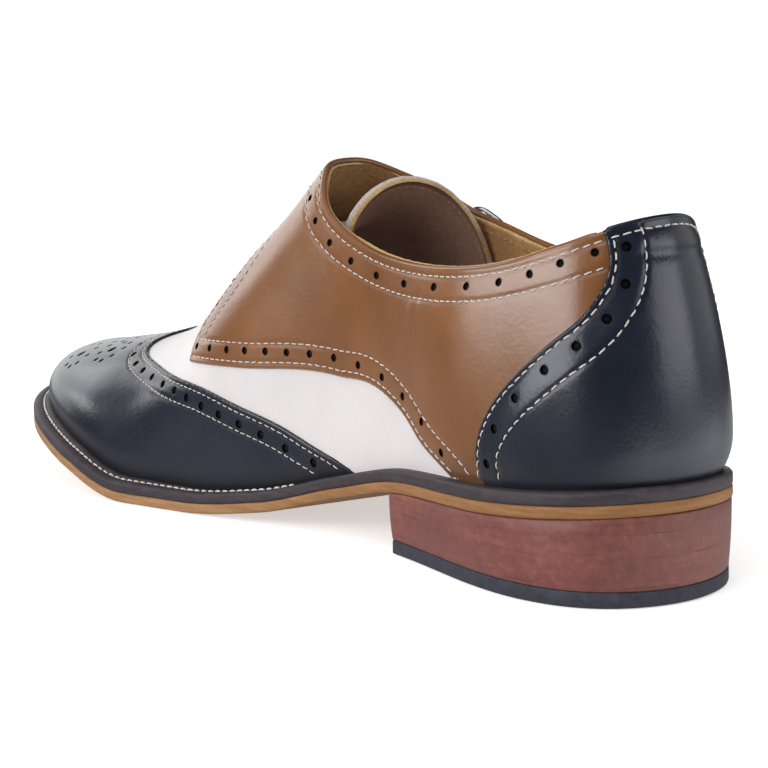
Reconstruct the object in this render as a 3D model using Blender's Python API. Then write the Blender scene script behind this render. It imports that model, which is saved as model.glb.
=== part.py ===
"""Right-foot dress shoe with a single monk strap, built as separate solids.

Sizes are in millimetres inside this script and become metres at the end.
s runs from the heel back to the toe, y towards the inner (medial) side of the
foot, z up from the floor that the heel and the ball of the foot stand on.
"""
import math

import bmesh
import bpy
import numpy as np

for old in list(bpy.data.objects):
    bpy.data.objects.remove(old, do_unlink=True)

# ---------------------------------------------------------------- sizes (mm)
MM = 0.001
S_CENTRE = 155.5          # middle of the length
Y_CENTRE = -2.0           # middle of the width
GAP = 0.3                 # clearance between neighbouring pieces
SEAT = 0.5                # clearance of the upper and foot bed over the welt
LIFT = 3.7                # rubber top lift
OUTSOLE = 2.9             # leather outsole layer
WELT = 3.0                # welt layer
INSOLE = 2.6              # foot bed
WALL = 2.2                # upper: outer leather and lining together
TONGUE = 2.4              # tongue: leather and lining together
STRAP = 1.8               # strap leather
HEEL_BREAST = 85.0        # front face of the heel
HEEL_TAPER = 0.9          # the heel is this much smaller at the floor
FLAT_FROM, FLAT_TO = 173.0, 198.0   # flat spot under the ball
SOLE_LENGTH = 309.0

# plan of the outsole, heel back first, along the inner side to the toe and
# back along the outer side
OUTLINE_COLUMNS = ("s", "y")
OUTLINE = [
    (-1.2, 2.2), (5.1, 20.9), (21.0, 29.7), (44.6, 30.4), (75.2, 25.8),
    (110.5, 24.7), (145.4, 32.4), (180.8, 41.6), (214.6, 49.1), (242.5, 48.5),
    (268.4, 42.9), (291.1, 31.9), (306.4, 17.8), (312.2, 3.4), (307.2, -11.1),
    (290.0, -26.4), (264.3, -38.6), (231.7, -48.2), (196.1, -53.7),
    (155.7, -49.6), (115.4, -41.4), (75.1, -36.7), (44.9, -34.8),
    (21.7, -30.7), (5.8, -18.4),
]

# height of the outsole's underside: heel seat, arch, ball, toe spring
PROFILE_COLUMNS = ("s", "underside")
PROFILE = [
    (0.0, 20.9), (40.2, 18.1), (80.3, 16.4), (111.2, 10.6), (142.1, 3.2),
    (FLAT_FROM, 0.0), (FLAT_TO, 0.0), (228.7, 6.8), (268.8, 14.9),
    (SOLE_LENGTH, 20.2),
]

# how far the welt stands out from the upper's lower edge
MARGIN_COLUMNS = ("outline_row", "margin")
MARGIN = [(0, 1.5), (2, 2.2), (4, 2.2), (6, 3.0), (8, 4.6), (10, 5.6),
          (13, 6.2), (16, 5.6), (18, 5.0), (20, 3.0), (22, 2.2)]

# one row for each section of the last: how high and how far out the wall
# starts, how wide the crown is, and how far the heel wall leans in
SECTION_COLUMNS = ("outline_row", "rise", "flare", "crown", "lean")
SECTIONS = [
    (0, 19.0, 4.0, 22.0, 21.0), (2, 28.5, 4.0, 25.5, 18.0),
    (3, 33.0, 3.0, 25.0, 12.0), (4, 39.5, 1.5, 25.0, 7.0),
    (5, 44.0, 1.0, 25.0, 2.0), (6, 45.0, 2.5, 29.5, 0.0),
    (7, 31.0, 2.5, 19.5, 0.0), (8, 23.0, 3.0, 17.0, 0.0),
    (9, 18.5, 3.5, 19.0, 0.0), (10, 14.5, 2.5, 18.5, 0.0),
    (12, 10.0, 3.0, 17.5, 0.0), (13, 14.5, 3.5, 20.0, 0.0),
    (14, 17.5, 3.5, 20.5, 0.0), (16, 19.0, 4.0, 22.0, 0.0),
    (17, 24.0, 4.0, 25.0, 0.0), (18, 30.0, 4.0, 27.0, 0.0),
    (19, 38.5, 3.0, 25.5, 0.0), (20, 43.0, 2.5, 23.0, 2.0),
    (21, 38.0, 3.0, 22.5, 6.0), (22, 32.5, 5.0, 23.5, 12.0),
    (23, 20.5, 6.5, 18.0, 17.0),
]

# the last's top line, from above the heel over the instep to the toe
SPINE_COLUMNS = ("place", "s", "y", "z")
SPINE = [
    (0.0, 32.0, 0.5, 132.0), (0.2, 75.0, 0.5, 117.0), (0.4, 115.0, 1.5, 115.0),
    (0.5, 140.0, 3.0, 93.0), (0.6, 165.0, 5.5, 76.5), (0.7, 190.0, 5.5, 60.5),
    (0.8, 215.0, 6.5, 50.5), (0.9, 245.0, 6.0, 46.0), (1.0, 280.0, 4.5, 42.0),
]

# which place on the top line each section rises to
INNER_COLUMNS = ("outline_row", "place")
INNER = [(0, 0.0), (2, 0.0), (3, 0.06), (4, 0.2), (5, 0.39), (6, 0.52),
         (7, 0.66), (8, 0.8), (9, 0.89), (10, 0.96), (12, 1.0), (13, 1.0)]
OUTER_COLUMNS = ("outline_row", "place")
OUTER = [(13, 1.0), (14, 1.0), (16, 0.96), (17, 0.86), (18, 0.73), (19, 0.57),
         (20, 0.41), (21, 0.2), (22, 0.06), (23, 0.0), (25, 0.0)]

# the collar edge, from the front round the inner side, the back and the outer
# side to the front again
COLLAR_FRONT_S = 130.0
COLLAR_COLUMNS = ("s", "y", "z")
COLLAR = [
    (129.0, 8.0, 101.9), (125.5, 13.8, 100.2), (121.6, 17.8, 96.7),
    (119.8, 20.0, 92.6), (115.0, 21.0, 87.0), (105.3, 21.4, 81.4),
    (90.0, 21.8, 76.8), (73.0, 23.2, 74.8), (56.0, 25.0, 74.6),
    (38.0, 26.6, 76.1), (21.8, 25.1, 79.4), (10.5, 16.5, 84.0),
    (7.6, 2.0, 86.6), (13.5, -12.5, 85.4), (24.0, -22.0, 81.0),
    (40.0, -27.0, 77.0), (58.0, -28.5, 75.6), (76.0, -28.5, 76.6),
    (90.0, -28.0, 79.8), (103.0, -27.4, 83.8), (113.5, -25.4, 87.3),
    (120.6, -21.2, 92.2), (127.0, -14.4, 96.8), (129.6, -7.2, 100.0),
]

# free part of the tongue behind the collar front: quarter-ellipse arches
TONGUE_COLUMNS = ("s", "crown_y", "crown_z", "inner_half", "inner_drop",
                  "outer_half", "outer_drop")
TONGUE_FREE = [
    (137.0, 2.0, 84.5, 20.7, 25.0, 28.5, 26.3),
    (126.0, 0.3, 86.0, 17.8, 19.0, 26.2, 26.0),
    (117.0, -0.8, 90.5, 18.5, 20.0, 26.8, 30.0),
    (111.0, -1.4, 96.8, 21.0, 23.0, 27.5, 36.0),
]
TONGUE_FROM_S = (196.0, 180.0, 164.0, 149.0)
TONGUE_SIDE = 0.5         # part of each section that the tongue leaves open
TONGUE_SKEW = 0.14        # the free part reaches further back on the outer side

# strap on the outer side, from the instep to its tip
STRAP_COLUMNS = ("upper_s", "upper_y", "upper_z", "lower_s", "lower_y", "lower_z")
STRAP_ROWS = [
    (132.0, 2.8, 100.0, 150.0, 4.0, 86.0),
    (129.5, -13.0, 95.5, 146.0, -15.0, 80.5),
    (121.5, -22.5, 89.0, 135.5, -28.0, 71.5),
    (113.0, -27.0, 83.0, 123.0, -33.3, 62.5),
    (103.0, -28.6, 79.0, 111.0, -34.3, 57.5),
    (94.0, -30.0, 74.0, 100.0, -34.6, 55.5),
    (88.0, -31.8, 68.0, 91.5, -34.0, 58.5),
]
BUCKLE_AT = (119.6, -30.4, 72.6)
BUCKLE_ALONG = (-0.80, -0.22, -0.50)
BUCKLE_HALF_LENGTH = 6.5
BUCKLE_HALF_WIDTH = 13.5
BUCKLE_CORNER = 4.5
BUCKLE_WIRE = 1.5
PRONG_WIRE = 1.0

# ------------------------------------------------------------ small helpers


def spline_rows(knots, rows, period=None):
    """Cubic through rows at knots; periodic when a period is given."""
    x = np.asarray(knots, float)
    y = np.asarray(rows, float).reshape(len(x), -1)
    n = len(x)
    a = np.zeros((n, n))
    b = np.zeros_like(y)
    if period is None:
        step = np.diff(x)
        a[0, 0] = a[-1, -1] = 1.0
        inside = range(1, n - 1)
    else:
        step = np.diff(np.r_[x, x[0] + period])
        inside = range(n)
    for i in inside:
        before, after = step[i - 1], step[i]
        j = (i + 1) % n
        a[i, i] += 2.0 * (before + after)
        a[i, i - 1] += before
        a[i, j] += after
        b[i] = 6.0 * ((y[j] - y[i]) / after - (y[i] - y[i - 1]) / before)
    bend = np.linalg.solve(a, b)
    ends = x if period is None else np.r_[x, x[0] + period]

    def at(q):
        q = np.asarray(q, float)
        q = np.clip(q, x[0], x[-1]) if period is None else (q - x[0]) % period + x[0]
        i = np.clip(np.searchsorted(ends, q, side="right") - 1, 0, len(ends) - 2)
        j = (i + 1) % n
        h = step[i][:, None]
        u = ((ends[i + 1] - q) / step[i])[:, None]
        v = 1.0 - u
        return (u * y[i] + v * y[j]
                + ((u ** 3 - u) * bend[i] + (v ** 3 - v) * bend[j]) * h * h / 6.0)
    return at


def level_rows(knots, values):
    """Cubic that never overshoots its rows."""
    x = np.asarray(knots, float)
    y = np.asarray(values, float)
    h = np.diff(x)
    d = np.diff(y) / h
    m = np.zeros_like(y)
    m[0], m[-1] = d[0], d[-1]
    for i in range(1, len(x) - 1):
        if d[i - 1] * d[i] > 0:
            w1, w2 = 2 * h[i] + h[i - 1], h[i] + 2 * h[i - 1]
            m[i] = (w1 + w2) / (w1 / d[i - 1] + w2 / d[i])

    def at(q):
        q = np.clip(np.asarray(q, float), x[0], x[-1])
        i = np.clip(np.searchsorted(x, q, side="right") - 1, 0, len(x) - 2)
        t = (q - x[i]) / h[i]
        return ((1 + 2 * t) * (1 - t) ** 2 * y[i] + t * (1 - t) ** 2 * h[i] * m[i]
                + t * t * (3 - 2 * t) * y[i + 1] + t * t * (t - 1) * h[i] * m[i + 1])
    return at


def unit(v):
    return v / np.linalg.norm(v, axis=-1, keepdims=True)


# ------------------------------------------------------- the last's function
_plan = np.array(OUTLINE)
_chord = np.sqrt(np.linalg.norm(np.roll(_plan, -1, 0) - _plan, axis=1))
ROW_T = np.r_[0.0, np.cumsum(_chord)] / _chord.sum()
outline = spline_rows(ROW_T[:-1], _plan, 1.0)
underside = level_rows(*zip(*PROFILE))
margin = spline_rows([ROW_T[r] for r, _ in MARGIN], [m for _, m in MARGIN], 1.0)
section = spline_rows([ROW_T[r[0]] for r in SECTIONS], [r[1:] for r in SECTIONS], 1.0)
spine = spline_rows([r[0] for r in SPINE], [r[1:] for r in SPINE])
place_inner = level_rows([ROW_T[r] for r, _ in INNER], [p for _, p in INNER])
place_outer = level_rows([ROW_T[r] for r, _ in OUTER], [p for _, p in OUTER])
TOE_T = ROW_T[13]
TOE_FAN = (ROW_T[12], ROW_T[14])


def outward(t):
    """Level direction out of the outline at t."""
    e = 1e-4
    d = unit(outline(np.asarray(t) + e) - outline(np.asarray(t) - e))
    return np.c_[-d[:, 1], d[:, 0]]


def welt_top(s):
    return underside(s) + OUTSOLE + GAP + WELT


def place(t):
    t = np.asarray(t, float) % 1.0
    return np.where(t <= TOE_T, place_inner(t), place_outer(t))


def spine_frame(p):
    """Point, level direction and slope of the top line."""
    e = 1e-3
    p = np.asarray(p, float)
    tangent = spine(np.clip(p + e, 0, 1)) - spine(np.clip(p - e, 0, 1))
    run = np.linalg.norm(tangent[:, :2], axis=1)
    return spine(p), tangent[:, :2] / run[:, None], tangent[:, 2] / run


def last_form(t, h):
    """Outer face of the upper: t round the foot, h from welt (0) to top line (1)."""
    t = np.asarray(t, float) % 1.0
    h = np.asarray(h, float)[:, None]
    out = outward(t)
    flat = outline(t) - out * margin(t)
    low = np.c_[flat, welt_top(outline(t)[:, 0]) + SEAT]
    rise, flare, crown, lean = section(t).T
    top, along, slope = spine_frame(place(t))
    away = unit(low[:, :2] - top[:, :2])
    fall = (away * along).sum(1) * slope
    start = low + np.c_[out * flare[:, None], rise]
    finish = top + np.c_[away, fall] * crown[:, None]
    finish[:, 2] -= lean
    g = 1.0 - h
    return low * g ** 3 + 3 * start * g * g * h + 3 * finish * g * h * h + top * h ** 3


def last_normal(t, h):
    """Outward normal of the form; level at the welt, square to the top line at h=1."""
    t = np.asarray(t, float)
    h = np.asarray(h, float)
    e = 1e-4
    hi, lo = np.clip(h + e, 0, 0.9995), np.clip(h - e, 0, 0.999)
    hm = np.clip(h, 0.0, 0.999)
    dt = last_form(t + e, hm) - last_form(t - e, hm)
    dh = last_form(t, hi) - last_form(t, lo)
    n = unit(np.cross(dh, dt))
    _, along, slope = spine_frame(place(t))
    ridge = unit(np.c_[-along * slope[:, None], np.ones(len(t))])
    sign = np.where((n[:, :2] * outward(t)).sum(1) + n[:, 2] < 0, -1.0, 1.0)
    n = n * sign[:, None]
    level = np.c_[outward(t), np.zeros(len(t))]
    foot = np.clip(1.0 - h / 0.08, 0, 1)[:, None]
    peak = np.clip((h - 0.93) / 0.07, 0, 1)[:, None]
    return unit(n * (1 - foot) * (1 - peak) + level * foot + ridge * peak)


def form_offset(t, h, distance):
    return last_form(t, h) + last_normal(t, h) * distance


def nearest(point, side):
    """(t, h) on the form nearest to a point; side +1 inner, -1 outer."""
    t0, t1 = (0.0, TOE_T) if side > 0 else (TOE_T, 1.0)
    h0, h1 = 0.0, 1.0
    p = np.asarray(point, float)
    for _ in range(7):
        tt, hh = np.meshgrid(np.linspace(t0, t1, 41), np.linspace(h0, h1, 41), indexing="ij")
        q = last_form(tt.ravel(), hh.ravel())
        k = int(np.argmin(((q - p) ** 2).sum(1)))
        t, h = tt.ravel()[k], hh.ravel()[k]
        wt, wh = (t1 - t0) / 10, (h1 - h0) / 10
        low_t, high_t = (0.0, TOE_T) if side > 0 else (TOE_T, 1.0)
        t0, t1 = max(low_t, t - wt), min(high_t, t + wt)
        h0, h1 = max(0.0, h - wh), min(1.0, h + wh)
    return t, h


def t_of_place(p, side):
    """Section whose rib rises to a place on the top line."""
    if side > 0:
        t = np.linspace(0.0, TOE_FAN[0], 4001)
        return np.interp(p, place_inner(t), t)
    t = np.linspace(TOE_FAN[1], 1.0, 4001)
    return np.interp(p, place_outer(t)[::-1], t[::-1])


def place_of_s(s):
    p = np.linspace(0, 1, 4001)
    return np.interp(s, spine(p)[:, 0], p)


# ----------------------------------------------------------- solids to scene


def solid(name, points, faces, colour, metal=0.0, rough=0.5):
    """One closed faceted body, outward facing."""
    mesh = bpy.data.meshes.new(name)
    shift = np.array([S_CENTRE, Y_CENTRE, 0.0])
    mesh.from_pydata(((np.asarray(points) - shift) * MM).tolist(), [], faces)
    body = bmesh.new()
    body.from_mesh(mesh)
    bmesh.ops.remove_doubles(body, verts=body.verts, dist=2e-6)
    bmesh.ops.dissolve_degenerate(body, edges=body.edges, dist=1e-6)
    bmesh.ops.triangulate(body, faces=body.faces)
    bmesh.ops.recalc_face_normals(body, faces=body.faces)
    body.to_mesh(mesh)
    body.free()
    thing = bpy.data.objects.new(name, mesh)
    bpy.context.scene.collection.objects.link(thing)
    skin = bpy.data.materials.new(name)
    skin.use_nodes = True
    shader = skin.node_tree.nodes["Principled BSDF"]
    shader.inputs["Base Color"].default_value = (*colour, 1.0)
    shader.inputs["Metallic"].default_value = metal
    shader.inputs["Roughness"].default_value = rough
    mesh.materials.append(skin)
    return thing


def edges_of_plan(inset):
    """Half outlines (s, y) of the plan drawn in by an inset, inner then outer."""
    t = np.linspace(0.0, 1.0, 4001)
    plan = outline(t) - outward(t) * np.reshape(inset(t), (-1, 1))
    back, tip = int(np.argmin(plan[:, 0])), int(np.argmax(plan[:, 0]))
    ring = np.roll(plan[:-1], -back, 0)
    turn = (tip - back) % (len(plan) - 1)
    return ring[:turn + 1], np.r_[ring[turn:], ring[:1]][::-1]


def plate(name, low, high, breast, stations, colour, rough=0.5):
    """Layer between two drawn-in plans; low and high are (inset, height)."""
    rings = []
    for inset, height in (low, high):
        inner, outer = edges_of_plan(inset)
        s0, s1 = inner[0, 0], (inner[-1, 0] if breast is None else breast)
        s = s0 + (s1 - s0) * stations
        for flat in (FLAT_FROM, FLAT_TO):
            if breast is None:
                s[int(np.argmin(abs(s - flat)))] = flat
        yi = np.interp(s, inner[:, 0], inner[:, 1])
        yo = np.interp(s, outer[:, 0], outer[:, 1])
        z = height(s)
        rings.append((np.c_[s, yi, z], np.c_[s, yo, z]))
    points = np.concatenate([rings[0][0], rings[0][1], rings[1][0], rings[1][1]])
    n = len(stations)
    li, lo, hi, ho = (np.arange(n) + k * n for k in range(4))
    faces = []
    for k in range(n - 1):
        a, b = k, k + 1
        faces.append((li[a], li[b], lo[b], lo[a]))
        faces.append((hi[a], ho[a], ho[b], hi[b]))
        faces.append((li[a], hi[a], hi[b], li[b]))
        faces.append((lo[a], lo[b], ho[b], ho[a]))
    for k in (0, n - 1):
        faces.append((li[k], lo[k], ho[k], hi[k]))
    return solid(name, points, [tuple(int(v) for v in f) for f in faces], colour, rough=rough)


def sheet(name, outer, inner, colour, metal=0.0, rough=0.5):
    """Closed solid between two point grids (rows, columns, 3)."""
    r, c = outer.shape[:2]
    points = np.concatenate([outer.reshape(-1, 3), inner.reshape(-1, 3)])
    m = r * c
    faces = []
    for i in range(r - 1):
        for j in range(c - 1):
            a, b, d, e = i * c + j, i * c + j + 1, (i + 1) * c + j + 1, (i + 1) * c + j
            faces.append((a, b, d, e))
            faces.append((m + a, m + e, m + d, m + b))
    rim = ([(0, j) for j in range(c)] + [(i, c - 1) for i in range(1, r)]
           + [(r - 1, j) for j in range(c - 2, -1, -1)] + [(i, 0) for i in range(r - 2, 0, -1)])
    for (i, j), (k, q) in zip(rim, rim[1:] + rim[:1]):
        a, b = i * c + j, k * c + q
        faces.append((a, m + a, m + b, b))
    return solid(name, points, faces, colour, metal, rough)


def rod(name, path, normals, radius, closed, colour, sides=8):
    """Round wire along a path."""
    n = len(path)
    if closed:
        tangent = unit(np.roll(path, -1, 0) - np.roll(path, 1, 0))
    else:
        tangent = unit(np.gradient(path, axis=0))
    across = unit(np.cross(tangent, normals))
    lift = unit(np.cross(across, tangent))
    turn = np.arange(sides) * 2 * math.pi / sides
    points = (path[:, None] + radius * (np.cos(turn)[None, :, None] * across[:, None]
                                        + np.sin(turn)[None, :, None] * lift[:, None])).reshape(-1, 3)
    faces = []
    for i in range(n if closed else n - 1):
        j = (i + 1) % n
        for k in range(sides):
            q = (k + 1) % sides
            faces.append((i * sides + k, i * sides + q, j * sides + q, j * sides + k))
    if not closed:
        faces.append(tuple(range(sides)))
        faces.append(tuple((n - 1) * sides + k for k in range(sides - 1, -1, -1)))
    return solid(name, points, faces, colour, 1.0, 0.25)


# --------------------------------------------------------------- sole pieces
TAN, DARK, STACK, BLACK = (0.42, 0.24, 0.12), (0.05, 0.04, 0.05), (0.22, 0.08, 0.06), (0.04, 0.04, 0.05)
BROWN, WHITE, LINING, SILVER = (0.24, 0.10, 0.04), (0.80, 0.78, 0.77), (0.14, 0.07, 0.03), (0.7, 0.7, 0.72)
COSINE = (1 - np.cos(np.linspace(0, math.pi, 73))) / 2
HEEL_COSINE = 1 - np.cos(np.linspace(0, math.pi / 2, 25))


def inset_of(value):
    return lambda t: np.full(len(t), value)


plate("outsole", (inset_of(0.0), lambda s: underside(s)),
      (inset_of(0.0), lambda s: underside(s) + OUTSOLE), None, COSINE, TAN)
plate("welt", (inset_of(0.0), lambda s: underside(s) + OUTSOLE + GAP),
      (inset_of(0.0), lambda s: welt_top(s)), None, COSINE, DARK)
plate("heel_stack", (inset_of(HEEL_TAPER), lambda s: np.full(len(s), LIFT + GAP)),
      (inset_of(0.3), lambda s: underside(s) - GAP), HEEL_BREAST, HEEL_COSINE, STACK)
plate("heel_top_lift", (inset_of(HEEL_TAPER), lambda s: np.zeros(len(s))),
      (inset_of(HEEL_TAPER), lambda s: np.full(len(s), LIFT)), HEEL_BREAST, HEEL_COSINE, BLACK, 0.8)


def foot_bed(t):
    return margin(t)[:, 0] + WALL + 1.0


plate("insole", (foot_bed, lambda s: welt_top(s) + SEAT),
      (foot_bed, lambda s: welt_top(s) + SEAT + INSOLE), None, COSINE, LINING)

# --------------------------------------------------------------------- upper
ROWS_UP = 15
COLLAR_COLS = 27          # columns on each side of the heel
RIDGE_COLS = 23           # columns from the collar front to the toe box
FAN_COLS = 9              # columns round the toe

front_place = float(place_of_s(COLLAR_FRONT_S))
front_inner = float(t_of_place(front_place, 1))
front_outer = float(t_of_place(front_place, -1))
edge = [(front_inner, 1.0)]
for s, y, z in COLLAR:
    t, h = nearest((s, y, z), 1 if y > 2.0 or (s < 60 and y > 0) else -1)
    edge.append((t if t < 0.5 else t - 1.0, h))
edge.append((front_outer - 1.0, 1.0))
edge = np.array(edge)
edge_points = last_form(edge[:, 0], edge[:, 1])
edge_run = np.r_[0.0, np.cumsum(np.linalg.norm(np.diff(edge_points, axis=0), axis=1))]
collar = spline_rows(edge_run / edge_run[-1], edge)


def collar_columns():
    """Collar points (t, h) from the front, round the back, to the front."""
    v = np.linspace(0.0, 1.0, 2 * COLLAR_COLS + 1)
    points = collar(v)
    points[:, 1] = np.minimum(points[:, 1], 1.0)
    return v, points


v, top = collar_columns()
foot_t = front_inner + (front_outer - 1.0 - front_inner) * v
columns = []              # (foot t, top t, top h), inner front -> back -> outer front
for t0, (t1, h1) in zip(foot_t, top):
    columns.append((t0, t1, h1))
ridge_places = place_inner(np.linspace(front_inner, TOE_FAN[0], RIDGE_COLS + 1))
outer_ridge = [(float(t_of_place(p, -1)) - 1.0, 1.0) for p in ridge_places[1:]]
for t1, h1 in outer_ridge:
    columns.append((t1, t1, h1))
fan = np.linspace(TOE_FAN[1] - 1.0, TOE_FAN[0] - 1.0, FAN_COLS + 2)[1:-1]
for t1 in fan:
    columns.append((t1, t1, 1.0))
inner_ridge = [(float(t_of_place(p, 1)) - 1.0, 1.0) for p in ridge_places[1:]][::-1]
for t1, h1 in inner_ridge:
    columns.append((t1, t1, h1))
columns = np.array(columns)
climb = np.linspace(0.0, 1.0, ROWS_UP + 1)


def shell_grid(distance):
    grid = []
    for t0, t1, h1 in columns:
        t = t0 + (t1 - t0) * climb
        h = h1 * climb
        grid.append(form_offset(t, h, distance))
    return np.array(grid)


def upper_solid():
    outer, inner = shell_grid(0.0), shell_grid(-WALL)
    n_collar = 2 * COLLAR_COLS + 1
    n_ridge, n_fan = RIDGE_COLS, FAN_COLS
    total = len(columns)
    # the two ends of a ridge rib and the whole fan share their top points
    partner = list(range(total))
    partner[n_collar - 1] = 0
    for k in range(n_ridge):
        partner[total - 1 - k] = n_collar + k
    for k in range(n_fan):
        partner[n_collar + n_ridge + k] = n_collar + n_ridge - 1
    points, index = [], {}
    for layer, grid in enumerate((outer, inner)):
        for c in range(total):
            for r in range(ROWS_UP + 1):
                owner = partner[c] if r == ROWS_UP else c
                if owner != c:
                    continue
                index[layer, c, r] = len(points)
                points.append(grid[c, r])
        for c in range(total):
            if partner[c] != c:
                index[layer, c, ROWS_UP] = index[layer, partner[c], ROWS_UP]
    faces = []

    def face(*ids):
        ring = [i for k, i in enumerate(ids) if i != ids[k - 1]]
        if len(set(ring)) >= 3:
            faces.append(tuple(ring))
    for c in range(total):
        d = (c + 1) % total
        for r in range(ROWS_UP):
            face(index[0, c, r], index[0, d, r], index[0, d, r + 1], index[0, c, r + 1])
            face(index[1, c, r], index[1, c, r + 1], index[1, d, r + 1], index[1, d, r])
        face(index[0, c, 0], index[1, c, 0], index[1, d, 0], index[0, d, 0])
        if c < n_collar - 1:
            face(index[0, c, ROWS_UP], index[0, d, ROWS_UP], index[1, d, ROWS_UP], index[1, c, ROWS_UP])
    return solid("upper", points, faces, BROWN)


upper_solid()

# -------------------------------------------------------------------- tongue
TONGUE_HALF = 9
TONGUE_STEPS = 23
TONGUE_OFF = WALL + 1.1


def tongue_section_on_last(s):
    p = float(place_of_s(s))
    h = np.linspace(TONGUE_SIDE, 1.0, TONGUE_HALF)
    ti, to = float(t_of_place(p, 1)), float(t_of_place(p, -1))
    inner = form_offset(np.full(TONGUE_HALF, ti), h, -TONGUE_OFF)
    outer = form_offset(np.full(TONGUE_HALF, to), h, -TONGUE_OFF)
    return np.r_[inner, outer[:-1][::-1]]


def tongue_section_free(s, cy, cz, ih, idrop, oh, odrop):
    a = np.radians(75.0) * (1 - np.linspace(0.0, 1.0, TONGUE_HALF))
    inner = np.c_[s + TONGUE_SKEW * ih * np.sin(a), cy + ih * np.sin(a), cz - idrop * (1 - np.cos(a))]
    outer = np.c_[s - TONGUE_SKEW * oh * np.sin(a), cy - oh * np.sin(a), cz - odrop * (1 - np.cos(a))]
    return np.r_[inner, outer[:-1][::-1]]


tongue_rows = [tongue_section_on_last(s) for s in TONGUE_FROM_S]
tongue_rows += [tongue_section_free(*row) for row in TONGUE_FREE]
tongue_rows = np.array(tongue_rows)
crown = tongue_rows[:, TONGUE_HALF - 1]
tongue_run = np.r_[0.0, np.cumsum(np.linalg.norm(np.diff(crown, axis=0), axis=1))]
tongue_at = spline_rows(tongue_run / tongue_run[-1], tongue_rows.reshape(len(tongue_rows), -1))
tongue_face = tongue_at(np.linspace(0, 1, TONGUE_STEPS)).reshape(TONGUE_STEPS, -1, 3)
tongue_normal = unit(np.cross(np.gradient(tongue_face, axis=0), np.gradient(tongue_face, axis=1)))
if tongue_normal[:, TONGUE_HALF - 1, 2].mean() < 0:
    tongue_normal = -tongue_normal
sheet("tongue", tongue_face, tongue_face - tongue_normal * TONGUE, WHITE)

# --------------------------------------------------------------------- strap
STRAP_ACROSS = 8
STRAP_STEPS = 19
strap_edges = []
for us, uy, uz, ls, ly, lz in STRAP_ROWS:
    strap_edges.append(nearest((us, uy, uz), -1) + nearest((ls, ly, lz), -1))
strap_edges = np.array(strap_edges)
strap_mid = last_form((strap_edges[:, 0] + strap_edges[:, 2]) / 2, (strap_edges[:, 1] + strap_edges[:, 3]) / 2)
strap_run = np.r_[0.0, np.cumsum(np.linalg.norm(np.diff(strap_mid, axis=0), axis=1))]
strap_at = spline_rows(strap_run / strap_run[-1], strap_edges)
strap_grid = []
for ut, uh, lt, lh in strap_at(np.linspace(0, 1, STRAP_STEPS)):
    w = np.linspace(0, 1, STRAP_ACROSS)
    strap_grid.append(np.c_[ut + (lt - ut) * w, np.minimum(uh + (lh - uh) * w, 1.0)])
strap_grid = np.array(strap_grid)
flat_t, flat_h = strap_grid[..., 0].ravel(), strap_grid[..., 1].ravel()
sheet("monk_strap",
      form_offset(flat_t, flat_h, GAP + STRAP).reshape(STRAP_STEPS, STRAP_ACROSS, 3),
      form_offset(flat_t, flat_h, GAP).reshape(STRAP_STEPS, STRAP_ACROSS, 3), BROWN)

# -------------------------------------------------------------------- buckle
mid_t, mid_h = nearest(BUCKLE_AT, -1)
mid = last_form([mid_t], [mid_h])[0]
up_n = last_normal([mid_t], [mid_h])[0]
along = np.array(BUCKLE_ALONG)
along = unit(along - up_n * (along @ up_n))
across = np.cross(up_n, along)
if across[2] < 0:
    across = -across


def on_wall(a, b, distance):
    """Points over the wall at a along the strap and b across it."""
    path, normals = [], []
    for x, y in zip(a, b):
        t, h = nearest(mid + along * x + across * y, -1)
        n = last_normal([t], [h])[0]
        path.append(last_form([t], [h])[0] + n * distance)
        normals.append(n)
    return np.array(path), np.array(normals)


corner = np.linspace(0, math.pi / 2, 5)
loop = []
for q in range(4):
    cx = (BUCKLE_HALF_LENGTH - BUCKLE_CORNER) * (1 if q in (0, 3) else -1)
    cy = (BUCKLE_HALF_WIDTH - BUCKLE_CORNER) * (1 if q in (0, 1) else -1)
    for c in corner + q * math.pi / 2:
        loop.append((cx + BUCKLE_CORNER * math.cos(c), cy + BUCKLE_CORNER * math.sin(c)))
    if q in (0, 2):
        continue
    x = BUCKLE_HALF_LENGTH * (-1 if q == 1 else 1)
    for y in np.linspace(cy, -cy, 5)[1:-1]:
        loop.append((x, y))
loop = np.array(loop)
path, normals = on_wall(loop[:, 0], loop[:, 1], GAP + STRAP + GAP + BUCKLE_WIRE)
rod("buckle_frame", path, normals, BUCKLE_WIRE, True, SILVER)
reach = BUCKLE_HALF_LENGTH - BUCKLE_WIRE - 0.5
path, normals = on_wall(np.linspace(-reach, reach, 6), np.zeros(6), GAP + STRAP + GAP + PRONG_WIRE)
rod("buckle_prong", path, normals, PRONG_WIRE, False, SILVER)
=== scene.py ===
import math

import bpy
import numpy as np
from mathutils import Matrix, Vector, geometry
from mathutils.kdtree import KDTree


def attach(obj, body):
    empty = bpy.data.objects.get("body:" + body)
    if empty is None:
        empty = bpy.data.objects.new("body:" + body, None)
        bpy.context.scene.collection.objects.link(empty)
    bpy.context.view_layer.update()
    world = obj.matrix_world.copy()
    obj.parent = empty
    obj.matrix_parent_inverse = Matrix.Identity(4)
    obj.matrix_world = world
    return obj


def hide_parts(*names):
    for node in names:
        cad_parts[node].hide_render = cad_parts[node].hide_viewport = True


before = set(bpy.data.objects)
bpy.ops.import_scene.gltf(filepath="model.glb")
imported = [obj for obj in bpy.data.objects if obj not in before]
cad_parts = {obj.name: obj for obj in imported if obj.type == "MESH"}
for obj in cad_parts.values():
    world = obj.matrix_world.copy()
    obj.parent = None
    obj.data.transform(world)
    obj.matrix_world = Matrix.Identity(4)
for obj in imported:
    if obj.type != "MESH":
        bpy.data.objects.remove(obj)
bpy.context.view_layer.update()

RNG = np.random.default_rng(7)

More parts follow.
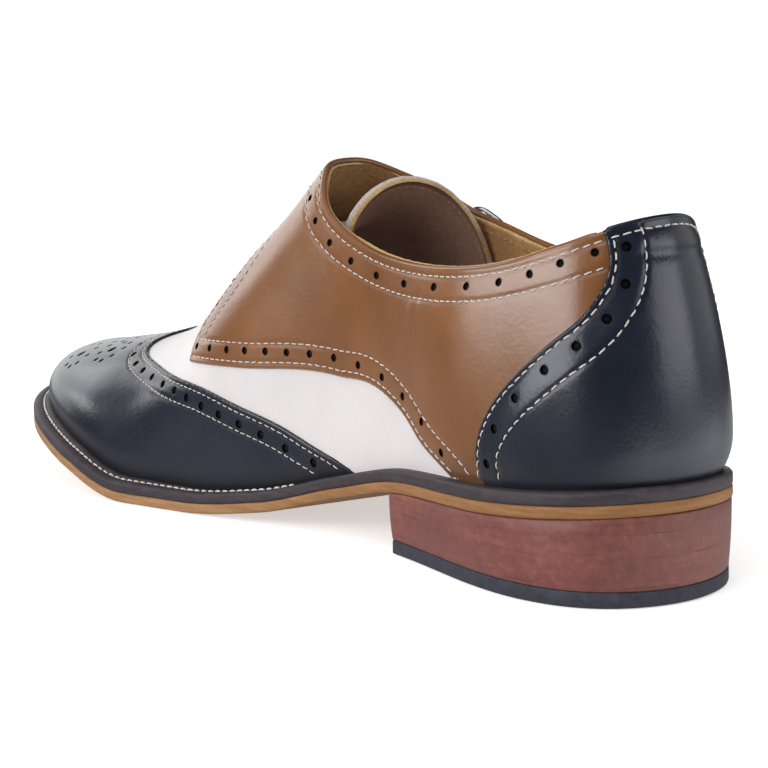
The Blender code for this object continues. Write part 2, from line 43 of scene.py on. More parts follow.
# Sizes are in millimetres until a mesh is made. s runs heel to toe, y to the
# inner side of the foot, z up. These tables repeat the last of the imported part.
S_CENTRE, Y_CENTRE = 155.5, -2.0
GAP, SEAT, LIFT, OUTSOLE, WELT, WALL, TONGUE, STRAP = 0.3, 0.5, 3.7, 2.9, 3.0, 2.2, 2.4, 1.8
HEEL_BREAST, HEEL_TAPER = 85.0, 0.9
FLAT_FROM, FLAT_TO, SOLE_LENGTH = 173.0, 198.0, 309.0
OUTLINE = [
    (-1.2, 2.2), (5.1, 20.9), (21.0, 29.7), (44.6, 30.4), (75.2, 25.8),
    (110.5, 24.7), (145.4, 32.4), (180.8, 41.6), (214.6, 49.1), (242.5, 48.5),
    (268.4, 42.9), (291.1, 31.9), (306.4, 17.8), (312.2, 3.4), (307.2, -11.1),
    (290.0, -26.4), (264.3, -38.6), (231.7, -48.2), (196.1, -53.7),
    (155.7, -49.6), (115.4, -41.4), (75.1, -36.7), (44.9, -34.8),
    (21.7, -30.7), (5.8, -18.4),
]
PROFILE = [
    (0.0, 20.9), (40.2, 18.1), (80.3, 16.4), (111.2, 10.6), (142.1, 3.2),
    (FLAT_FROM, 0.0), (FLAT_TO, 0.0), (228.7, 6.8), (268.8, 14.9),
    (SOLE_LENGTH, 20.2),
]
MARGIN = [(0, 1.5), (2, 2.2), (4, 2.2), (6, 3.0), (8, 4.6), (10, 5.6),
          (13, 6.2), (16, 5.6), (18, 5.0), (20, 3.0), (22, 2.2)]
SECTIONS = [
    (0, 19.0, 4.0, 22.0, 21.0), (2, 28.5, 4.0, 25.5, 18.0),
    (3, 33.0, 3.0, 25.0, 12.0), (4, 39.5, 1.5, 25.0, 7.0),
    (5, 44.0, 1.0, 25.0, 2.0), (6, 45.0, 2.5, 29.5, 0.0),
    (7, 31.0, 2.5, 19.5, 0.0), (8, 23.0, 3.0, 17.0, 0.0),
    (9, 18.5, 3.5, 19.0, 0.0), (10, 14.5, 2.5, 18.5, 0.0),
    (12, 10.0, 3.0, 17.5, 0.0), (13, 14.5, 3.5, 20.0, 0.0),
    (14, 17.5, 3.5, 20.5, 0.0), (16, 19.0, 4.0, 22.0, 0.0),
    (17, 24.0, 4.0, 25.0, 0.0), (18, 30.0, 4.0, 27.0, 0.0),
    (19, 38.5, 3.0, 25.5, 0.0), (20, 43.0, 2.5, 23.0, 2.0),
    (21, 38.0, 3.0, 22.5, 6.0), (22, 32.5, 5.0, 23.5, 12.0),
    (23, 20.5, 6.5, 18.0, 17.0),
]
SPINE = [
    (0.0, 32.0, 0.5, 132.0), (0.2, 75.0, 0.5, 117.0), (0.4, 115.0, 1.5, 115.0),
    (0.5, 140.0, 3.0, 93.0), (0.6, 165.0, 5.5, 76.5), (0.7, 190.0, 5.5, 60.5),
    (0.8, 215.0, 6.5, 50.5), (0.9, 245.0, 6.0, 46.0), (1.0, 280.0, 4.5, 42.0),
]
INNER = [(0, 0.0), (2, 0.0), (3, 0.06), (4, 0.2), (5, 0.39), (6, 0.52),
         (7, 0.66), (8, 0.8), (9, 0.89), (10, 0.96), (12, 1.0), (13, 1.0)]
OUTER = [(13, 1.0), (14, 1.0), (16, 0.96), (17, 0.86), (18, 0.73), (19, 0.57),
         (20, 0.41), (21, 0.2), (22, 0.06), (23, 0.0), (25, 0.0)]
COLLAR_FRONT_S = 130.0
COLLAR = [
    (129.0, 8.0, 101.9), (125.5, 13.8, 100.2), (121.6, 17.8, 96.7),
    (119.8, 20.0, 92.6), (115.0, 21.0, 87.0), (105.3, 21.4, 81.4),
    (90.0, 21.8, 76.8), (73.0, 23.2, 74.8), (56.0, 25.0, 74.6),
    (38.0, 26.6, 76.1), (21.8, 25.1, 79.4), (10.5, 16.5, 84.0),
    (7.6, 2.0, 86.6), (13.5, -12.5, 85.4), (24.0, -22.0, 81.0),
    (40.0, -27.0, 77.0), (58.0, -28.5, 75.6), (76.0, -28.5, 76.6),
    (90.0, -28.0, 79.8), (103.0, -27.4, 83.8), (113.5, -25.4, 87.3),
    (120.6, -21.2, 92.2), (127.0, -14.4, 96.8), (129.6, -7.2, 100.0),
]
TONGUE_FREE = [
    (137.0, 2.0, 84.5, 20.7, 25.0, 28.5, 26.3),
    (126.0, 0.3, 86.0, 17.8, 19.0, 26.2, 26.0),
    (117.0, -0.8, 90.5, 18.5, 20.0, 26.8, 30.0),
    (111.0, -1.4, 96.8, 21.0, 23.0, 27.5, 36.0),
]
TONGUE_FROM_S = (196.0, 180.0, 164.0, 149.0)
TONGUE_SKEW = 0.14
TONGUE_SIDE = 0.5
STRAP_ROWS = [
    (132.0, 2.8, 100.0, 150.0, 4.0, 86.0),
    (129.5, -13.0, 95.5, 146.0, -15.0, 80.5),
    (121.5, -22.5, 89.0, 135.5, -28.0, 71.5),
    (113.0, -27.0, 83.0, 123.0, -33.3, 62.5),
    (103.0, -28.6, 79.0, 111.0, -34.3, 57.5),
    (94.0, -30.0, 74.0, 100.0, -34.6, 55.5),
    (88.0, -31.8, 68.0, 91.5, -34.0, 58.5),
]
BUCKLE_AT = (119.6, -30.4, 72.6)
BUCKLE_ALONG = (-0.80, -0.22, -0.50)
BUCKLE_HALF_LENGTH, BUCKLE_HALF_WIDTH, BUCKLE_CORNER = 6.5, 13.5, 4.5
BUCKLE_WIRE, PRONG_WIRE = 1.5, 1.0

# seams and edges of the inner side on the unrolled shell (mm): x along the
# foot, y down the wall from the top line
WING_EDGE = [(212.0, 5.4), (214.2, 9.2), (219.2, 14.4), (220.6, 20.0), (216.2, 27.2),
             (202.6, 34.4), (184.4, 46.2), (168.6, 58.3), (151.4, 71.7),
             (135.8, 83.6), (121.0, 94.9), (104.2, 105.6), (96.7, 109.4)]
QUARTER_LOW = [(176.9, 45.8), (167.0, 52.2), (149.0, 61.4), (132.1, 69.6),
               (112.1, 79.4), (98.4, 84.8), (88.3, 86.6), (79.0, 89.4),
               (70.0, 95.2), (62.0, 101.7), (55.0, 108.0)]
QUARTER_FRONT = [(176.9, 45.8), (177.2, 39.6), (174.8, 33.8), (169.6, 31.0),
                 (162.0, 28.0), (155.4, 23.6), (151.0, 14.5)]
COUNTER_EDGE = [(-13.5, 34.2), (-17.0, 34.4), (-20.6, 36.0), (-22.8, 39.8), (-23.0, 46.0),
                (-20.6, 55.0), (-12.9, 66.5), (-0.2, 78.4), (14.6, 87.2),
                (25.8, 92.4), (33.0, 97.2), (36.8, 102.2), (36.9, 106.4), (34.0, 111.0)]
WING_HOLES = [(227.2, 23.4), (221.2, 29.8), (213.8, 34.1), (206.5, 37.1), (198.3, 41.0), (189.6, 46.4), (182.0, 52.1),
              (175.1, 58.0), (167.9, 64.3), (160.2, 70.3), (152.0, 76.5), (143.3, 83.2), (132.0, 91.9), (117.6, 101.5)]
QUARTER_HOLES = [(173.8, 42.9), (165.2, 48.3), (156.1, 53.0), (147.9, 56.9), (139.1, 61.3), (129.5, 66.4), (118.5, 71.9),
                 (106.5, 77.4), (96.3, 81.4), (87.7, 82.7), (78.5, 84.7), (68.2, 90.3), (59.8, 99.2)]
FRONT_HOLES = [(173.9, 35.4), (168.1, 32.7), (162.7, 28.4)]
TOP_HOLES = [(125.5, 26.7), (119.7, 36.4), (111.5, 46.0), (101.1, 53.8), (90.4, 57.1), (77.6, 56.2), (62.8, 57.9),
             (47.8, 62.1), (30.5, 64.8), (13.4, 63.2), (-2.8, 53.6), (-14.7, 40.3)]
WIDER = {TOP_HOLES[k]: w for k, w in zip(range(2, 10), (1.12, 1.25, 1.35, 1.4, 1.4, 1.35, 1.25, 1.12))}     # holes drawn out along the seam
COUNTER_HOLES = [(-22.0, 27.3), (-28.7, 32.4), (-29.8, 45.2), (-23.1, 61.4), (-9.3, 77.4), (10.5, 91.0), (23.9, 98.6),
                 (29.3, 106.3)]
MEDALLION_BIG = [(261.5, 28.6), (241.0, 27.0)]
MEDALLION_SMALL = [
    (268.3, 29.6), (262.3, 34.6), (257.1, 36.1), (253.8, 34.5), (253.6, 30.2), (241.8, 33.1),
    (237.2, 33.6), (246.2, 29.1), (256.6, 25.0), (270.7, 19.4), (263.8, 20.0), (249.2, 23.6),
    (234.2, 30.8), (253.9, 19.3), (262.1, 14.2), (247.3, 19.4), (242.3, 21.4), (234.1, 26.0),
    (237.2, 22.0), (252.4, 14.9), (243.9, 15.7)]
MEDALLION_MID_BIG = [(255.0, 5.2)]
MEDALLION_MID_SMALL = [(267.0, 4.8), (246.5, 5.6), (239.0, 5.8), (260.0, 9.4), (250.0, 9.8)]

OFF_VAMP, OFF_WING, OFF_QUARTER, OFF_COUNTER = -0.55, 0.35, 0.35, 0.45
SKIN = 1.25               # leather of one panel
STITCH_OUT, STITCH_IN = 1.7, 7.0
TUCK, TUCK_RISE = 1.2, 8.0   # how far and how high up the wall turns in above the welt

# ------------------------------------------------------------ small helpers


def spline_rows(knots, rows, period=None):
    x = np.asarray(knots, float)
    y = np.asarray(rows, float).reshape(len(x), -1)
    n = len(x)
    a = np.zeros((n, n))
    b = np.zeros_like(y)
    if period is None:
        step = np.diff(x)
        a[0, 0] = a[-1, -1] = 1.0
        inside = range(1, n - 1)
    else:
        step = np.diff(np.r_[x, x[0] + period])
        inside = range(n)
    for i in inside:
        before, after = step[i - 1], step[i]
        j = (i + 1) % n
        a[i, i] += 2.0 * (before + after)
        a[i, i - 1] += before
        a[i, j] += after
        b[i] = 6.0 * ((y[j] - y[i]) / after - (y[i] - y[i - 1]) / before)
    bend = np.linalg.solve(a, b)
    ends = x if period is None else np.r_[x, x[0] + period]

    def at(q):
        q = np.asarray(q, float)
        q = np.clip(q, x[0], x[-1]) if period is None else (q - x[0]) % period + x[0]
        i = np.clip(np.searchsorted(ends, q, side="right") - 1, 0, len(ends) - 2)
        j = (i + 1) % n
        h = step[i][:, None]
        u = ((ends[i + 1] - q) / step[i])[:, None]
        v = 1.0 - u
        return (u * y[i] + v * y[j]
                + ((u ** 3 - u) * bend[i] + (v ** 3 - v) * bend[j]) * h * h / 6.0)
    return at


def level_rows(knots, values):
    x = np.asarray(knots, float)
    y = np.asarray(values, float)
    h = np.diff(x)
    d = np.diff(y) / h
    m = np.zeros_like(y)
    m[0], m[-1] = d[0], d[-1]
    for i in range(1, len(x) - 1):
        if d[i - 1] * d[i] > 0:
            w1, w2 = 2 * h[i] + h[i - 1], h[i] + 2 * h[i - 1]
            m[i] = (w1 + w2) / (w1 / d[i - 1] + w2 / d[i])

    def at(q):
        q = np.clip(np.asarray(q, float), x[0], x[-1])
        i = np.clip(np.searchsorted(x, q, side="right") - 1, 0, len(x) - 2)
        t = (q - x[i]) / h[i]
        return ((1 + 2 * t) * (1 - t) ** 2 * y[i] + t * (1 - t) ** 2 * h[i] * m[i]
                + t * t * (3 - 2 * t) * y[i + 1] + t * t * (t - 1) * h[i] * m[i + 1])
    return at


def unit(v):
    return v / np.maximum(np.linalg.norm(v, axis=-1, keepdims=True), 1e-12)


def smooth(x, a, b):
    u = np.clip((np.asarray(x, float) - a) / (b - a), 0.0, 1.0)     # falls where b is below a
    return u * u * (3 - 2 * u)


# ------------------------------------------------------- the last's function
_plan = np.array(OUTLINE)
_chord = np.sqrt(np.linalg.norm(np.roll(_plan, -1, 0) - _plan, axis=1))
ROW_T = np.r_[0.0, np.cumsum(_chord)] / _chord.sum()
outline = spline_rows(ROW_T[:-1], _plan, 1.0)
underside = level_rows(*zip(*PROFILE))
margin = spline_rows([ROW_T[r] for r, _ in MARGIN], [m for _, m in MARGIN], 1.0)
section = spline_rows([ROW_T[r[0]] for r in SECTIONS], [r[1:] for r in SECTIONS], 1.0)
spine = spline_rows([r[0] for r in SPINE], [r[1:] for r in SPINE])
place_inner = level_rows([ROW_T[r] for r, _ in INNER], [p for _, p in INNER])
place_outer = level_rows([ROW_T[r] for r, _ in OUTER], [p for _, p in OUTER])
TOE_T = ROW_T[13]
TOE_FAN = (ROW_T[12], ROW_T[14])
HEEL_FAN = (ROW_T[2], ROW_T[23])


def outward(t):
    e = 1e-4
    d = unit(outline(np.asarray(t) + e) - outline(np.asarray(t) - e))
    return np.c_[-d[:, 1], d[:, 0]]


def welt_top(s):
    return underside(s) + OUTSOLE + GAP + WELT


def place(t):
    t = np.asarray(t, float) % 1.0
    return np.where(t <= TOE_T, place_inner(t), place_outer(t))


def spine_frame(p):
    e = 1e-3
    p = np.asarray(p, float)
    tangent = spine(np.clip(p + e, 0, 1)) - spine(np.clip(p - e, 0, 1))
    run = np.linalg.norm(tangent[:, :2], axis=1)
    return spine(p), tangent[:, :2] / run[:, None], tangent[:, 2] / run


def last_form(t, h):
    t = np.asarray(t, float) % 1.0
    h = np.asarray(h, float)[:, None]
    out = outward(t)
    flat = outline(t) - out * margin(t)
    low = np.c_[flat, welt_top(outline(t)[:, 0]) + SEAT]
    rise, flare, crown, lean = section(t).T
    top, along, slope = spine_frame(place(t))
    away = unit(low[:, :2] - top[:, :2])
    fall = (away * along).sum(1) * slope
    start = low + np.c_[out * flare[:, None], rise]
    finish = top + np.c_[away, fall] * crown[:, None]
    finish[:, 2] -= lean
    g = 1.0 - h
    return low * g ** 3 + 3 * start * g * g * h + 3 * finish * g * h * h + top * h ** 3


def last_normal(t, h):
    t = np.asarray(t, float)
    h = np.asarray(h, float)
    e = 1e-4
    hi, lo = np.clip(h + e, 0, 0.9995), np.clip(h - e, 0, 0.999)
    hm = np.clip(h, 0.0, 0.999)
    dt = last_form(t + e, hm) - last_form(t - e, hm)
    dh = last_form(t, hi) - last_form(t, lo)
    n = unit(np.cross(dh, dt))
    _, along, slope = spine_frame(place(t))
    ridge = unit(np.c_[-along * slope[:, None], np.ones(len(t))])
    sign = np.where((n[:, :2] * outward(t)).sum(1) + n[:, 2] < 0, -1.0, 1.0)
    n = n * sign[:, None]
    level = np.c_[outward(t), np.zeros(len(t))]
    foot = np.clip(1.0 - h / 0.08, 0, 1)[:, None]
    peak = np.clip((h - 0.93) / 0.07, 0, 1)[:, None]
    return unit(n * (1 - foot) * (1 - peak) + level * foot + ridge * peak)


def form_offset(t, h, distance):
    return last_form(t, h) + last_normal(t, h) * distance


def nearest(point, side):
    t0, t1 = (0.0, TOE_T) if side > 0 else (TOE_T, 1.0)
    h0, h1 = 0.0, 1.0
    p = np.asarray(point, float)
    for _ in range(7):
        tt, hh = np.meshgrid(np.linspace(t0, t1, 41), np.linspace(h0, h1, 41), indexing="ij")
        q = last_form(tt.ravel(), hh.ravel())
        k = int(np.argmin(((q - p) ** 2).sum(1)))
        t, h = tt.ravel()[k], hh.ravel()[k]
        wt, wh = (t1 - t0) / 10, (h1 - h0) / 10
        low_t, high_t = (0.0, TOE_T) if side > 0 else (TOE_T, 1.0)
        t0, t1 = max(low_t, t - wt), min(high_t, t + wt)
        h0, h1 = max(0.0, h - wh), min(1.0, h + wh)
    return t, h


def t_of_place(p, side):
    if side > 0:
        t = np.linspace(0.0, TOE_FAN[0], 4001)
        return np.interp(p, place_inner(t), t)
    t = np.linspace(TOE_FAN[1], 1.0, 4001)
    return np.interp(p, place_outer(t)[::-1], t[::-1])


def place_of_s(s):
    p = np.linspace(0, 1, 4001)
    return np.interp(s, spine(p)[:, 0], p)


# the section of the outer side that answers each section of the inner side
_p = np.linspace(0.001, 0.999, 400)
_inner_t = np.r_[np.linspace(0, HEEL_FAN[0], 20), t_of_place(_p, 1), np.linspace(*(TOE_FAN[0], TOE_T), 20)]
_outer_t = np.r_[np.linspace(1, HEEL_FAN[1], 20), t_of_place(_p, -1), np.linspace(TOE_FAN[1], TOE_T, 20)]
_order = np.argsort(_inner_t)
_inner_t, _outer_t = _inner_t[_order], _outer_t[_order]
_outer_t = np.minimum.accumulate(_outer_t)


def other_side(t):
    t = np.asarray(t, float) % 1.0
    return np.where(t <= TOE_T, np.interp(t, _inner_t, _outer_t),
                    np.interp(t, _outer_t[::-1], _inner_t[::-1]))


# --------------------------------------------------------- the unrolled shell
GT, GH = 960, 160
_gt, _gh = np.arange(GT) / GT, np.linspace(0, 1, GH + 1)
_tt, _hh = np.meshgrid(_gt, _gh, indexing="ij")
_form = last_form(_tt.ravel(), _hh.ravel()).reshape(GT, GH + 1, 3)
_seg = np.linalg.norm(np.diff(_form, axis=1), axis=2)
_run = np.zeros((GT, GH + 1))
_run[:, :-1] = np.cumsum(_seg[:, ::-1], axis=1)[:, ::-1]
_top = spine(place(_gt))[:, :2]
_away = unit(_form[:, 0, :2] - _top)
SHEET = _top[:, None] + _away[:, None] * _run[..., None]
_tree = KDTree(GT * (GH + 1))
for _k, (_x, _y) in enumerate(SHEET.reshape(-1, 2).tolist()):
    _tree.insert((_x, _y, 0.0), _k)
_tree.balance()


def sheet_cell(t, h):
    u = (np.asarray(t, float) % 1.0) * GT
    v = np.clip(np.asarray(h, float), 0, 1) * GH
    i = np.floor(u).astype(int) % GT
    j = np.clip(np.floor(v).astype(int), 0, GH - 1)
    a, b = (u - np.floor(u))[:, None], (v - j)[:, None]
    k = (i + 1) % GT
    p00, p10, p01, p11 = SHEET[i, j], SHEET[k, j], SHEET[i, j + 1], SHEET[k, j + 1]
    p = p00 * (1 - a) * (1 - b) + p10 * a * (1 - b) + p01 * (1 - a) * b + p11 * a * b
    dt = ((p10 - p00) * (1 - b) + (p11 - p01) * b) * GT
    dh = ((p01 - p00) * (1 - a) + (p11 - p10) * a) * GH
    return p, dt, dh


def pattern(t, h):
    return sheet_cell(t, h)[0]


def inverse(q):
    """(t, h) of points on the unrolled shell."""
    q = np.asarray(q, float).reshape(-1, 2)
    k = np.array([_tree.find((x, y, 0.0))[1] for x, y in q.tolist()])
    t, h = (k // (GH + 1)) / GT, (k % (GH + 1)) / GH
    for turn in range(2):
        for _ in range(5):
            p, dt, dh = sheet_cell(t, h)
            r = q - p
            det = dt[:, 0] * dh[:, 1] - dt[:, 1] * dh[:, 0]
            safe = np.where(abs(det) < 1e-3, 1e9, det)
            a = (r[:, 0] * dh[:, 1] - r[:, 1] * dh[:, 0]) / safe
            b = (dt[:, 0] * r[:, 1] - dt[:, 1] * r[:, 0]) / safe
            t = t + np.clip(a, -3 / GT, 3 / GT)
            h = np.clip(h + np.clip(b, -3 / GH, 3 / GH), 0, 1)
        if turn == 0:
            stuck = (h > 0.999) & (np.linalg.norm(q - sheet_cell(t, h)[0], axis=1) > 0.02)
            t = np.where(stuck, other_side(t), t)
    return t % 1.0, h


def surface(q):
    """Points and normals of the last for points on the unrolled shell."""
    t, h = inverse(q)
    p = last_form(t, h)
    p[:, 2] -= (SEAT + 0.3) * np.clip(1 - h / 0.03, 0, 1)
    return p, last_normal(t, h)


def stretch(q):
    """Steps in space for a step in x and in y on the unrolled shell."""
    e = 0.4
    n = len(q)
    shifts = np.concatenate([q + (e, 0), q - (e, 0), q + (0, e), q - (0, e)])
    p = last_form(*inverse(shifts))
    return (p[:n] - p[n:2 * n]) / (2 * e), (p[2 * n:3 * n] - p[3 * n:]) / (2 * e)


def solve2(tx, ty, w):
    a, b, c = (tx * tx).sum(1), (tx * ty).sum(1), (ty * ty).sum(1)
    r1, r2 = (tx * w).sum(1), (ty * w).sum(1)
    det = np.maximum(a * c - b * b, 1e-6)
    return np.c_[(c * r1 - b * r2) / det, (a * r2 - b * r1) / det]


def evenly(q, step, closed=False):
    """Points along a line at about one step apart."""
    q = np.asarray(q, float)
    if closed:
        q = np.r_[q, q[:1]]
    run = np.r_[0, np.cumsum(np.linalg.norm(np.diff(q, axis=0), axis=1))]
    n = max(2, int(round(run[-1] / step)) + 1)
    x = np.linspace(0, run[-1], n)
    out = np.stack([np.interp(x, run, q[:, k]) for k in range(q.shape[1])], 1)
    return out[:-1] if closed else out


def curve(points, step=0.6):
    """Smooth line through a short table."""
    p = np.asarray(points, float)
    run = np.r_[0, np.cumsum(np.linalg.norm(np.diff(p, axis=0), axis=1) ** 0.7)]
    return evenly(spline_rows(run, p)(np.linspace(0, run[-1], 40 * len(p))), step)


def parallel(q, distance):
    """Line on the shell at a true distance to the left of a line (right if negative)."""
    q = evenly(q, 0.8)
    steps = max(1, int(abs(distance) / 0.9))
    for _ in range(steps):
        p, n = surface(q)
        along = np.gradient(p, axis=0)
        for _ in range(2):
            along[1:-1] = (along[:-2] + 2 * along[1:-1] + along[2:]) / 4
        side = np.cross(n, unit(along))
        tx, ty = stretch(q)
        q = q + solve2(tx, ty, side) * distance / steps
        q[1:-1] = (q[:-2] + 2 * q[1:-1] + q[2:]) / 4
    return evenly(q, 0.6)


def mirrored(q):
    t, h = inverse(q)
    return pattern(other_side(t), h)


def feather(t0, t1, step=1.0):
    t = np.linspace(t0, t1, 400)
    return evenly(pattern(t, np.zeros(400)), step)


def cut_between(q, keep):
    """Longest run of a line's points where keep holds."""
    best, start = (0, 0), None
    for i, k in enumerate(list(keep) + [False]):
        if k and start is None:
            start = i
        if not k and start is not None:
            if i - start > best[1] - best[0]:
                best = (start, i)
            start = None
    return q[best[0]:best[1]]


def inside_loop(q, loop):
    x, y = q[:, 0], q[:, 1]
    hit = np.zeros(len(q), bool)
    for (x0, y0), (x1, y1) in zip(loop, np.roll(loop, -1, 0)):
        if y0 == y1:
            continue
        hit ^= ((y0 > y) != (y1 > y)) & (x < (x1 - x0) * (y - y0) / (y1 - y0) + x0)
    return hit


def tree_of(points):
    tree = KDTree(len(points))
    for k, p in enumerate(np.asarray(points, float).tolist()):
        tree.insert(p if len(p) == 3 else (*p, 0.0), k)
    tree.balance()
    return tree


def distances(points, tree):
    found = [tree.find(p if len(p) == 3 else (*p, 0.0)) for p in np.asarray(points, float).tolist()]
    return np.array([f[2] for f in found]), np.array([f[1] for f in found]), np.array([f[0][:] for f in found])


# ----------------------------------------------------------- making of pieces


def to_world(p):
    return (np.asarray(p, float) - (S_CENTRE, Y_CENTRE, 0.0)) * 0.001


def piece(name, points, faces, materials, normals=None, attributes=None, index=None, sharp=False):
    mesh = bpy.data.meshes.new(name)
    mesh.from_pydata(to_world(points).tolist(), [], [tuple(int(v) for v in f) for f in faces])
    for m in (materials if isinstance(materials, (list, tuple)) else [materials]):
        mesh.materials.append(m)
    mesh.polygons.foreach_set("use_smooth", np.full(len(mesh.polygons), not sharp))
    if index is not None:
        mesh.polygons.foreach_set("material_index", np.asarray(index, np.int32))
    for key, values in (attributes or {}).items():
        a = mesh.attributes.new(key, "FLOAT", "POINT")
        a.data.foreach_set("value", np.asarray(values, np.float32))
    mesh.update()
    if normals is not None:
        mesh.normals_split_custom_set(np.asarray(normals, float).tolist())
    thing = bpy.data.objects.new(name, mesh)
    bpy.context.scene.collection.objects.link(thing)
    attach(thing, "root")
    return thing


def near_welt(p):
    """1 at the welt, 0 where the wall stands clear of it."""
    return np.clip(1 - (p[:, 2] - welt_top(p[:, 0]) - SEAT) / TUCK_RISE, 0, 1)


def hole_rings(holes, factor, sides):
    """Circles round punched holes, true to size on the curved wall."""
    c = np.array([(x, y) for x, y, _ in holes])
    tx, ty = stretch(c)
    e1 = unit(tx)
    e2 = unit(ty - (ty * e1).sum(1, keepdims=True) * e1)
    rings = []
    turn = np.arange(sides) * 2 * math.pi / sides
    for k, (x, y, r) in enumerate(holes):
        grow = r * factor if factor > 0 else r - factor
        w = grow * (WIDER.get((x, y), 1.0) * np.cos(turn)[:, None] * e1[k] + np.sin(turn)[:, None] * e2[k])
        d = solve2(np.repeat(tx[k:k + 1], sides, 0), np.repeat(ty[k:k + 1], sides, 0), w)
        rings.append(c[k] + d)
    return rings


